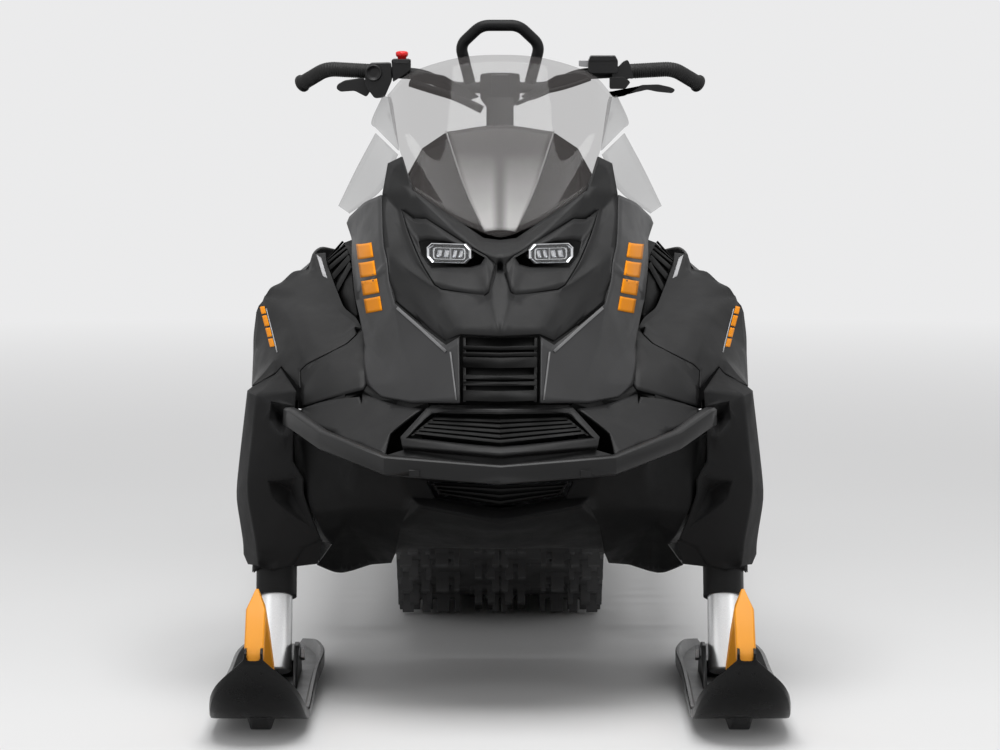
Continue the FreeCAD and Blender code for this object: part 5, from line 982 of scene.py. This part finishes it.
def slanted(start, end, wide, shares, slant):
    """Patches along a band from start to end, whose far edge runs ahead of the near one by slant."""
    start, end, wide = (np.asarray(v, float) for v in (start, end, wide))
    return [[start + (end - start) * low, start + (end - start) * high,
             start + (end - start) * (high + slant) + wide, start + (end - start) * (low + slant) + wide]
            for low, high in shares]


HOOD_SHARES = [(0.02, 0.22), (0.27, 0.47), (0.52, 0.72), (0.77, 0.97)]
HOOD_DECALS = slanted((267, 799), (243, 680), (-32, 5), HOOD_SHARES, -0.05)
SIDE_SHARES = [(0.0, 0.16), (0.20, 0.44), (0.48, 0.68), (0.72, 0.90)]
SIDE_DECALS = slanted((447, 676), (421, 604), (-9, 3), SIDE_SHARES, 0.0)
# pale strips laid along two creases of the hood: painted highlights
HOOD_CREASE_HIGHLIGHTS = [[(187, 701), (184, 705), (95, 638), (98, 634)], [(92, 652), (89, 652), (76, 558), (78.5, 558)]]
SIDE_LINES = [[(435, 676), (433, 675), (408, 606), (410, 605)]]
SHOULDER_MARKS = [[(345, 765), (336, 760), (322, 727), (331, 731)]]
laid("hood_decals", HOOD_DECALS, SHELLS["hood_panels"], DECAL_ORANGE)
laid("side_decals", SIDE_DECALS, SHELLS["side_panels"], DECAL_ORANGE)
# painted highlights laid on the hood's creases
laid("hood_crease_highlights", HOOD_CREASE_HIGHLIGHTS, SHELLS["hood_panels"], CREASE_HIGHLIGHT_GRAY, 0.002)
laid("side_lines", SIDE_LINES, SHELLS["side_panels"], DECAL_GRAY)
laid("shoulder_marks", SHOULDER_MARKS, SHELLS["side_panels"], DECAL_GRAY)

# ---------------------------------------------------------------- console and deflectors


def console_painted_highlight():
    """Black plastic with a painted highlight that brightens it towards its lower end, kept weaker along its
    middle fold.
    """
    made, tree, shader, place = node_tree("console_painted_highlight")
    split = add_node(tree, "SeparateXYZ", {0: place})
    # painted highlight: strongest low down and away from the middle fold
    low = spread(tree, split.outputs["Z"], 1.0, 0.0, 0.845, 0.965)
    side = spread(tree, calculated(tree, "ABSOLUTE", split.outputs["X"]), 0.25, 1.0, 0.003, 0.016)
    share = calculated(tree, "MULTIPLY", low, side)
    colour = blend_colours(tree, share, (0.035, 0.030, 0.029), (0.95, 0.94, 0.93))
    haze = spread(tree, noise(tree, place, 14.0, 3.0), 0.0, 0.12)
    feed(tree, shader, {"Base Color": blend_colours(tree, haze, colour, (0.05, 0.05, 0.05)),
                        "Roughness": 0.38})
    return made


PLATE_LINES = [
    [(0, -547, 1009), (0, -701, 926), (0, -869, 835)],
    [(101, -562, 997), (66, -712, 903), (29, -864, 832)],
]
PLATE_EDGE = np.array([(101, -563, 998), (66, -713, 904), (29, -865, 833)]) / 1000.0
# a thin sheet on the console's middle facets that carries the painted highlight
settle(sheet_piece("console_plate", smooth_sheet(across_middle(PLATE_LINES), 12, 8), console_painted_highlight(), 0.002,
                   facing=(0, -1, 1)), "chassis")
# pale thin tubes along the plate's edges: painted highlights on its bevelled edges
for side, word in both_sides():
    swept("console_painted_edge_" + word, catmull(PLATE_EDGE * (side, 1, 1), 10), 0.0013, CONSOLE_EDGE_HIGHLIGHT, "chassis",
          8)

WING_LINES = [
    [[(206, -502, 1060), (198, -586, 1017), (189, -697, 970)],
     [(222, -498, 1060), (244, -432, 1010), (234, -450, 997)]],
    [[(191, -704, 963), (222, -640, 895), (285, -545, 844)],
     [(236, -458, 989), (272, -440, 922), (307, -440, 850)]],
]
wings = []
for which, lines in zip(("upper", "lower"), WING_LINES):
    for side, word in both_sides():
        spots = smooth_sheet(np.array(lines) / 1000.0 * (side, 1, 1), 8, 8)
        wing = sheet_piece(f"deflector_{which}_{word}", spots, SHIELD, 0.003, facing=(0.5 * side, -1, 0.5))
        wings.append(settle(wing, "chassis"))
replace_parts(wings[0], "deflectors")

GAUGE_EDGE = np.array([(-62, -520, 992), (-62, -474, 968), (-62, -469, 980), (-62, -515, 1001)]) / 1000.0
gauge = slab("gauge_case", GAUGE_EDGE, (0.124, 0, 0), DISPLAY, "chassis", 0.003, 3)
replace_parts(gauge, "gauge")

# ---------------------------------------------------------------- cords on the handlebar

LOOM = np.array([(-172, -312, 1078), (-130, -325, 1065), (-80, -330, 1051), (-34, -332, 1027)]) / 1000.0
HOSE = np.array([(173, -318, 1086), (130, -324, 1070), (80, -328, 1060), (30, -332, 1038)]) / 1000.0
LOOM_RADIUS, LOOM_RIB, LOOM_RIB_PITCH = 0.0078, 0.0005, 0.0036


def cord_line(name, route):
    """A NURBS curve with the route's points as its control points."""
    curve = bpy.data.curves.new(name, "CURVE")
    curve.dimensions = "3D"
    curve.resolution_u = 24
    spline = curve.splines.new("NURBS")
    spline.points.add(len(route) - 1)
    spline.points.foreach_set("co", np.column_stack([route, np.ones(len(route))]).ravel())
    spline.order_u = 3
    spline.use_endpoint_u = True
    return new_object(name, curve)


def line_spots(route):
    """The spots of a route's NURBS line."""
    guide = cord_line("guide", route)
    bpy.context.view_layer.update()
    mesh = bpy.data.meshes.new_from_object(guide)
    spots = read_spots(mesh)
    bpy.data.objects.remove(guide)
    bpy.data.meshes.remove(mesh)
    return spots


def span(path):
    """A path's length."""
    return float(np.linalg.norm(np.diff(path, axis=0), axis=1).sum())


LOOM_PATH, loom_marks = along(line_spots(LOOM), 0.0008)
loom_radius = LOOM_RADIUS + LOOM_RIB * np.sin(loom_marks / LOOM_RIB_PITCH * 2 * np.pi)
loom = swept("loom_sleeve", LOOM_PATH, loom_radius, RUBBER, "steering")
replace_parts(loom, "wiring_loom")
hose_line = cord_line("hose_tube", HOSE)
hose_line.data.bevel_depth = 0.004
hose_line.data.bevel_resolution = 4
hose_line.data.use_fill_caps = True
hose_line.data.materials.append(RUBBER)
stands_for(hose_line, "brake_hose")
span(line_spots(HOSE))

# ---------------------------------------------------------------- hand controls


CONTROL_RISE = 0.0105
PAD_EDGE = [(39, 1040.5), (70, 1058.5), (107, 1080.5), (139, 1086.5), (168, 1085.5), (172, 1069.5),
            (150, 1067.5), (120, 1061.5), (84, 1042.5), (60, 1033.5)]
CAP_EDGE = [(16, 1086), (36, 1086), (36, 1046), (16, 1046)]


def other_side(outline):
    """The outline on the right side of the machine."""
    return [(-x, z) for x, z in outline]


# name: outline (x, z), front, back, size of its rounded corners, rim, finish, slot
CONTROLS = {
    "throttle_body": ([(-250, 1105), (-209, 1106), (-207, 1072), (-221, 1040), (-240, 1038), (-258, 1062),
                       (-259, 1075)], -327, -283, 5, 2, CONTROL_BLACK, "black_plastic"),
    "thumb_lever": ([(-262, 1078), (-271, 1076), (-298, 1072), (-312, 1064), (-314, 1056), (-306, 1050),
                     (-279, 1052), (-256, 1040), (-248, 1052)], -312, -304, 4, 2, CONTROL_BLACK,
                    "black_plastic"),
    "kill_block": ([(-208, 1112), (-171, 1112), (-171, 1093), (-184, 1083), (-205, 1069)], -322, -284, 3, 2,
                   CONTROL_BLACK, "black_plastic"),
    "kill_cap": ([(-206, 1113), (-173, 1113), (-175, 1105), (-204, 1105)], -324, -288, 3, 2, BODY_GRAY,
                 "black_plastic"),
    "brake_reservoir": ([(169, 1086), (225, 1086), (226, 1112), (220, 1118), (176, 1118), (169, 1112)],
                        -326, -284, 5, 2, CONTROL_BLACK, "black_plastic"),
    "reservoir_cap": ([(170, 1110), (224, 1110), (222, 1119), (173, 1119)], -328, -282, 3, 2, CONTROL_BLACK,
                      "black_plastic"),
    "brake_bolt": ([(151, 1099), (170, 1097), (170, 1110), (151, 1110)], -310, -298, 2, 2, STEEL,
                   "black_plastic"),
    "brake_hook": ([(236, 1108), (245, 1112), (251, 1098), (256, 1075), (245, 1076), (216, 1069),
                    (214, 1084)], -320, -302, 4, 2, CONTROL_BLACK, "black_plastic"),
    "brake_lever": ([(208, 1051), (218, 1040), (240, 1044), (255, 1056), (271, 1064), (303, 1065),
                     (326, 1060), (336, 1055), (330, 1048), (300, 1051), (282, 1055), (261, 1050)],
                    -330, -322, 4, 3, CONTROL_BLACK, "black_plastic"),
    "brake_clamp": ([(210, 1079), (237, 1079), (250, 1069), (240, 1056), (210, 1056)], -324, -288, 3, 2,
                    CONTROL_BLACK, "black_plastic"),
    "bar_pad_left": (PAD_EDGE, -315, -286, 4, 2, CONTROL_BLACK, "black_plastic"),
    "bar_pad_right": (other_side(PAD_EDGE), -315, -286, 4, 2, CONTROL_BLACK, "black_plastic"),
    "riser_head": ([(-38, 1083), (38, 1083), (38, 1038), (26, 1022), (-26, 1022), (-38, 1038)], -333, -270,
                   4, 3, FRAME_BLACK, "black_metal"),
    "riser_cap_left": (CAP_EDGE, -339, -330, 3, 2, FRAME_BLACK, "black_metal"),
    "riser_cap_right": (other_side(CAP_EDGE), -339, -330, 3, 2, FRAME_BLACK, "black_metal"),
}
CONTROL_NODES = {"throttle_body": "throttle_control", "kill_block": "kill_switch",
                 "brake_reservoir": "brake_control"}
for name, (outline, front, back, cut, rim_size, finish, slot) in CONTROLS.items():
    x, z = rounded(outline, cut).T / 1000.0
    edge = np.stack([x, np.full_like(x, front / 1000.0), z + CONTROL_RISE], -1)
    piece = slab(name, edge, (0, (back - front) / 1000.0, 0), finish, "steering", rim_size / 1000.0, 3)
    if name in CONTROL_NODES:
        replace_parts(piece, CONTROL_NODES[name])
PIVOT = [(0, 0), (0, 6), (0, 12), (-4, 13), (-4, 15), (0, 16.5), (4, 16.7), (6, 16.7), (6, 0)]
BUTTON = [(0, 0), (0, 8), (8, 8.4), (10, 11), (13, 12), (17, 12), (19, 10), (20, 6), (20, 0)]
PIVOT, BUTTON = np.array(PIVOT) / 1000, np.array(BUTTON) / 1000
turned("throttle_pivot", [(-0.242, -0.328, 1.087 + CONTROL_RISE)], (0, 1, 0), PIVOT, CONTROL_BLACK,
       "steering")
turned("kill_button", [(-0.188, -0.305, 1.108 + CONTROL_RISE)], (0, 0, 1), BUTTON, BUTTON_RED, "steering")

# ---------------------------------------------------------------- seat

SEAT_VOXEL = 0.006
SEAT_MOVE = 0.007
SEAT_SMALLER = 0.005
SEAT_BASE_SHARE = 0.12
SEAT_FRAMES = 20
SEAT_PRESSURE = 4.0


def stuffed_seat():
    """The seat's foam under its cover, blown up a little by cloth pressure while its base is held.

    The voxels' mesh starts a little smaller, and no spot moves further than SEAT_MOVE.
    """
    mesh = NODES["seat_cushion"].data.copy()
    mesh.name = "seat_cover"
    merged(mesh, NODE_DOUBLES)
    made = new_object("seat_cover", mesh)
    modify(made, "voxels", "REMESH", mode="VOXEL", voxel_size=SEAT_VOXEL)
    modify(made, "smaller", "DISPLACE", strength=-SEAT_SMALLER, mid_level=0.0)
    modify(made, "eased", "SMOOTH", iterations=6)
    fresh = applied(made)
    made.modifiers.clear()
    made.data = fresh
    start = read_spots(fresh)
    base = made.vertex_groups.new(name="base")
    low = np.quantile(start[:, 2], SEAT_BASE_SHARE)
    base.add(np.flatnonzero(start[:, 2] < low).tolist(), 1.0, "REPLACE")
    settings = made.modifiers.new("cloth", "CLOTH").settings
    settings.use_pressure = True
    settings.uniform_pressure_force = SEAT_PRESSURE
    settings.effector_weights.gravity = 0.0
    settings.vertex_group_mass = "base"
    settings.quality = 4
    scene = bpy.context.scene
    for moment in range(1, SEAT_FRAMES + 1):
        scene.frame_set(moment)
    move = read_spots(made.evaluated_get(bpy.context.evaluated_depsgraph_get()).data) - start
    long = np.linalg.norm(move, axis=1, keepdims=True)
    move *= np.minimum(1.0, SEAT_MOVE / np.maximum(long, 1e-9))
    made.modifiers.clear()
    scene.frame_set(1)
    made.data.vertices.foreach_set("co", (start + move).ravel())
    made.data.update()
    return made


seat = stuffed_seat()
seat.data.materials.clear()
seat.data.materials.append(SEAT_VINYL)
seat.data.polygons.foreach_set("use_smooth", np.full(len(seat.data.polygons), True))
modify(seat, "eased", "SMOOTH", iterations=5)
modify(seat, "finer", "SUBSURF", levels=1, render_levels=1)
stands_for(seat, "seat_cushion")

# ---------------------------------------------------------------- skis and legs

SKI_X, SKI_HALF, SKI_BASE, SKI_GAUGE = 410.0, 86.0, 20.0, 7.0
BOLT = np.array([405.5, -1010.0, 78.0])
TOE_OUT = math.radians(0.9)
RISE_Y, RISE_RADIUS = -1380.0, 300.0
# along, half width as a share of the widest, flange height
SKI_ROWS = [(-1625, 0.20, 3), (-1612, 0.38, 4), (-1595, 0.60, 5), (-1575, 0.78, 6), (-1550, 0.89, 7),
            (-1520, 0.945, 8), (-1490, 0.97, 9), (-1430, 1.0, 12), (-1380, 1.0, 16), (-1010, 0.94, 22),
            (-760, 0.94, 20), (-620, 0.72, 18), (-545, 0.42, 10)]
KEEL_HALF, KEEL_LOW = 24.3, 0.5
# along, share of the keel's width, share of its depth
KEEL_ROWS = [(-1445, 0.70, 0.0), (-1402, 1.0, 1.0), (-760, 1.0, 1.0), (-700, 0.7, 0.0)]


def sole(y):
    """Height of the sole: level, then base + R - sqrt(R^2 - ahead^2) up the shovel."""
    ahead = np.maximum(RISE_Y - np.asarray(y, float), 0)
    return SKI_BASE + RISE_RADIUS - np.sqrt(RISE_RADIUS**2 - ahead**2)


def toed_out(spots, side):
    """Spots of the left ski in mm, turned outwards about its leg, mirrored for the right one, in metres."""
    spots = np.asarray(spots, float)
    x, y = spots[..., 0] - SKI_X, spots[..., 1] - BOLT[1]
    turned_x = SKI_X + x * math.cos(TOE_OUT) - y * math.sin(TOE_OUT)
    turned_y = BOLT[1] + y * math.cos(TOE_OUT) + x * math.sin(TOE_OUT)
    return np.stack([turned_x * side, turned_y, spots[..., 2]], -1) / 1000.0


def loft(name, sections, finish, body, soft):
    """A closed form through sections of equal count, with flat ends and soft edges."""
    made = tidy(stacked(name, sections, finish))
    soften(made, soft, 2)
    return settle(made, body)


def ski_sections():
    """Sections across the ski: a flat sole, walls with a rolled rim, and the flat top between them."""
    y, share, flange = catmull(SKI_ROWS, 5).T
    half, low = SKI_HALF * share, sole(y)
    rim = np.minimum(7, half / 3)
    top = low + SKI_GAUGE
    side = [(half - rim, low), (half - 1.5, low + 1), (half, low + 4), (half, top + flange - 2),
            (half - 1.5, top + flange), (half - rim, top + flange), (half - rim - 1, top + flange - 2),
            (half - 2.0 * rim, top)]
    across = [(SKI_X + u, v) for u, v in side] + [(SKI_X - u, v) for u, v in reversed(side)]
    return np.stack([np.stack([x, y, z], -1) for x, z in across], 1)


def keel_sections():
    """Sections across the keel under the sole, with both ends swept up."""
    sections = []
    for y, wide, deep in KEEL_ROWS:
        top = float(sole(y)) + 2.0
        low = KEEL_LOW if deep else top - 3.0
        corners = [(KEEL_HALF, top), (18.5, low + 2), (16.5, low)]
        corners += [(-u, v) for u, v in reversed(corners)]
        sections.append([(SKI_X + u * wide, y, v) for u, v in corners])
    return sections


# along, height, half width of the handle's front band, then of its leg behind
HANDLE_LINE = [(-1607, 127, 11), (-1604, 150, 11), (-1596, 164, 17), (-1535, 231, 17), (-1502, 259, 3.5),
               (-1489, 259, 3.5), (-1436, 226, 11), (-1326, 160, 13), (-1246, 96, 15), (-1222, 52, 15)]
HANDLE_GAUGE = 20.0
PRONG_EDGE = [(-1614, 128), (-1613, 164), (-1606, 172), (-1594, 172), (-1584, 140), (-1584, 128)]


def handle_sections():
    """Sections square to the handle's line: a flat front face with chamfers, and a flat inner face."""
    line = np.array(HANDLE_LINE, float)
    ahead = np.gradient(line[:, :2], axis=0)
    ahead /= np.linalg.norm(ahead, axis=1, keepdims=True)
    y, z, half = line.T
    none = np.zeros_like(y)
    spot = np.stack([none + SKI_X, y, z], -1)
    inside = np.stack([none, ahead[:, 1], -ahead[:, 0]], -1) * HANDLE_GAUGE
    side = np.stack([half, none, none], -1)
    # share of the half width, share of the depth
    corners = [(-0.86, 0), (0.86, 0), (1, 0.15), (1, 1), (-1, 1), (-1, 0.15)]
    return np.stack([spot + side * wide + inside * deep for wide, deep in corners], 1)


LEG_WAY = np.array([0, math.sin(math.radians(21)), math.cos(math.radians(21))])
LEG_TUBE = np.array([(-35, 0), (-35, 26), (-33, 28.6), (-30, 29.2), (260, 29.2), (262, 0)]) / 1000.0
BOLT_HEAD = np.array([(33, 0), (33, 9), (44, 9), (44, 13), (46, 14), (52, 14), (53, 12), (53, 0)]) / 1000.0
# where each prong starts beside the handle's middle, and its width
PRONGS = {"inner": -15.8, "outer": 11.6}
PRONG_WIDE = 4.2
# the sides of a ski's section, of all sixteen, that face up and get a lighter gray as painted light from
# above
TOP_SIDES = range(4, 11)


def ski_shell(side, word, body):
    """The ski, black below and on its walls, and a lighter gray on its upward faces as painted light from
    above.
    """
    sections = toed_out(ski_sections(), side)
    rows, columns = sections.shape[:2]
    made = stacked("ski_shell_" + word, sections, SKI_BLACK, SKI_TOP_PAINTED_LIGHT)
    pick = np.tile(np.isin(np.arange(columns), TOP_SIDES), rows - 1)
    made.data.polygons.foreach_set("material_index", np.concatenate([pick, [0, 0]]).astype(int))
    soften(tidy(made), 0.0008, 2)
    return settle(made, body)


for side, word in both_sides():
    body = "ski_assembly_" + word
    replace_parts(ski_shell(side, word, body), "ski_" + word)
    keel = loft("ski_keel_" + word, toed_out(keel_sections(), side), KEEL_GRAY, body, 0.002)
    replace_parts(keel, "ski_runner_" + word)
    handle = loft("ski_loop_" + word, toed_out(handle_sections(), side), HANDLE_ORANGE, body,
                  0.0022)
    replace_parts(handle, "ski_handle_" + word)
    for which, near in PRONGS.items():
        prong = [toed_out([(SKI_X + x, y, z) for y, z in PRONG_EDGE], side)
                 for x in (near, near + PRONG_WIDE)]
        loft(f"ski_prong_{which}_{word}", prong, SKI_BLACK, body, 0.001)
    bolt = BOLT / 1000.0 * (side, 1, 1)
    tube = turned("leg_tube_" + word, [bolt], LEG_WAY, LEG_TUBE, LEG_BRIGHT, body, 48)
    soften(tube, 0.0006)
    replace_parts(tube, "lower_leg_" + word)
    for which, way in (("bolt", 1), ("nut", -1)):
        turned(f"saddle_{which}_{word}", [bolt], (way, 0, 0), BOLT_HEAD, STEEL, body, 6,
               smooth=False)

# ---------------------------------------------------------------- floor, light and camera


FLOOR_HALF = 60.0


def floor():
    """A flat pale floor, wide enough for every view."""
    spots = [(-FLOOR_HALF, -FLOOR_HALF, 0), (FLOOR_HALF, -FLOOR_HALF, 0), (FLOOR_HALF, FLOOR_HALF, 0),
             (-FLOOR_HALF, FLOOR_HALF, 0)]
    paint, tree, shader, place = node_tree("floor_paint")
    soft = spread(tree, noise(tree, place, 0.6, 2.0), 0.0, 1.0)
    feed(tree, shader, {"Base Color": blend_colours(tree, soft, (0.74, 0.74, 0.74), (0.76, 0.76, 0.76)),
                        "Roughness": 0.6, "Specular IOR Level": 0.2})
    glow = add_node(tree, "Emission", {"Color": (0.83, 0.83, 0.835), "Strength": lit_by_rays(tree, 1.0, 0.5)})
    reach = add_node(tree, "VectorMath", {0: place}, operation="LENGTH").outputs["Value"]
    mix = add_node(tree, "MixShader", {"Fac": spread(tree, reach, 0.0, 1.0, 1.2, 7.0),
                                       1: shader.outputs["BSDF"], 2: glow.outputs["Emission"]})
    feed(tree, tree.nodes["Material Output"], {"Surface": mix.outputs["Shader"]})
    mesh_piece("floor", spots, [(0, 1, 2, 3)], paint, smooth=False)


def softbox(name, place, aim, wide, high, power):
    """A soft rectangular light at a place, turned towards its aim."""
    lamp = bpy.data.lights.new(name, "AREA")
    lamp.shape = "RECTANGLE"
    lamp.size = wide
    lamp.size_y = high
    lamp.energy = power
    made = new_object(name, lamp)
    made.location = place
    made.rotation_mode = "QUATERNION"
    made.rotation_quaternion = (Vector(aim) - Vector(place)).to_track_quat("-Z", "Y")


def lit_by_rays(tree, seen, given):
    """Strength: seen where the camera, a mirror or glass looks at it, given where it only lights."""
    rays = add_node(tree, "LightPath", {}).outputs
    either = calculated(tree, "MAXIMUM", rays["Is Camera Ray"], rays["Is Glossy Ray"])
    either = calculated(tree, "MAXIMUM", either, rays["Is Transmission Ray"])
    return spread(tree, either, given, seen, 0.0, 1.0)


def world():
    """A pale room all round."""
    made = bpy.data.worlds.new("studio")
    bpy.context.scene.world = made
    made.use_nodes = True
    tree = made.node_tree
    feed(tree, tree.nodes["Background"], {"Color": (0.86, 0.86, 0.865),
                                          "Strength": lit_by_rays(tree, 0.95, 0.50)})


LENS_LENGTH = 199.8
EYE = (0.0, -10.955, 1.540)
LOOKS_DOWN = 5.5


def camera():
    """The long lens in front of the machine, looking a little down."""
    lens = bpy.data.cameras.new("camera")
    lens.lens = LENS_LENGTH
    lens.sensor_width = 36.0
    lens.clip_end = 200.0
    made = new_object("camera", lens)
    made.location = EYE
    made.rotation_euler = (math.radians(90.0 - LOOKS_DOWN), 0.0, 0.0)
    bpy.context.scene.camera = made


floor()
world()
softbox("over", (0.0, -1.2, 4.2), (0.0, -0.3, 0.5), 3.0, 3.6, 150.0)
softbox("left", (-3.4, -2.6, 1.9), (0.0, -0.6, 0.6), 2.0, 2.4, 13.0)
softbox("right", (3.4, -2.6, 1.9), (0.0, -0.6, 0.6), 2.0, 2.4, 13.0)
camera()
bpy.context.scene.view_settings.view_transform = "Standard"
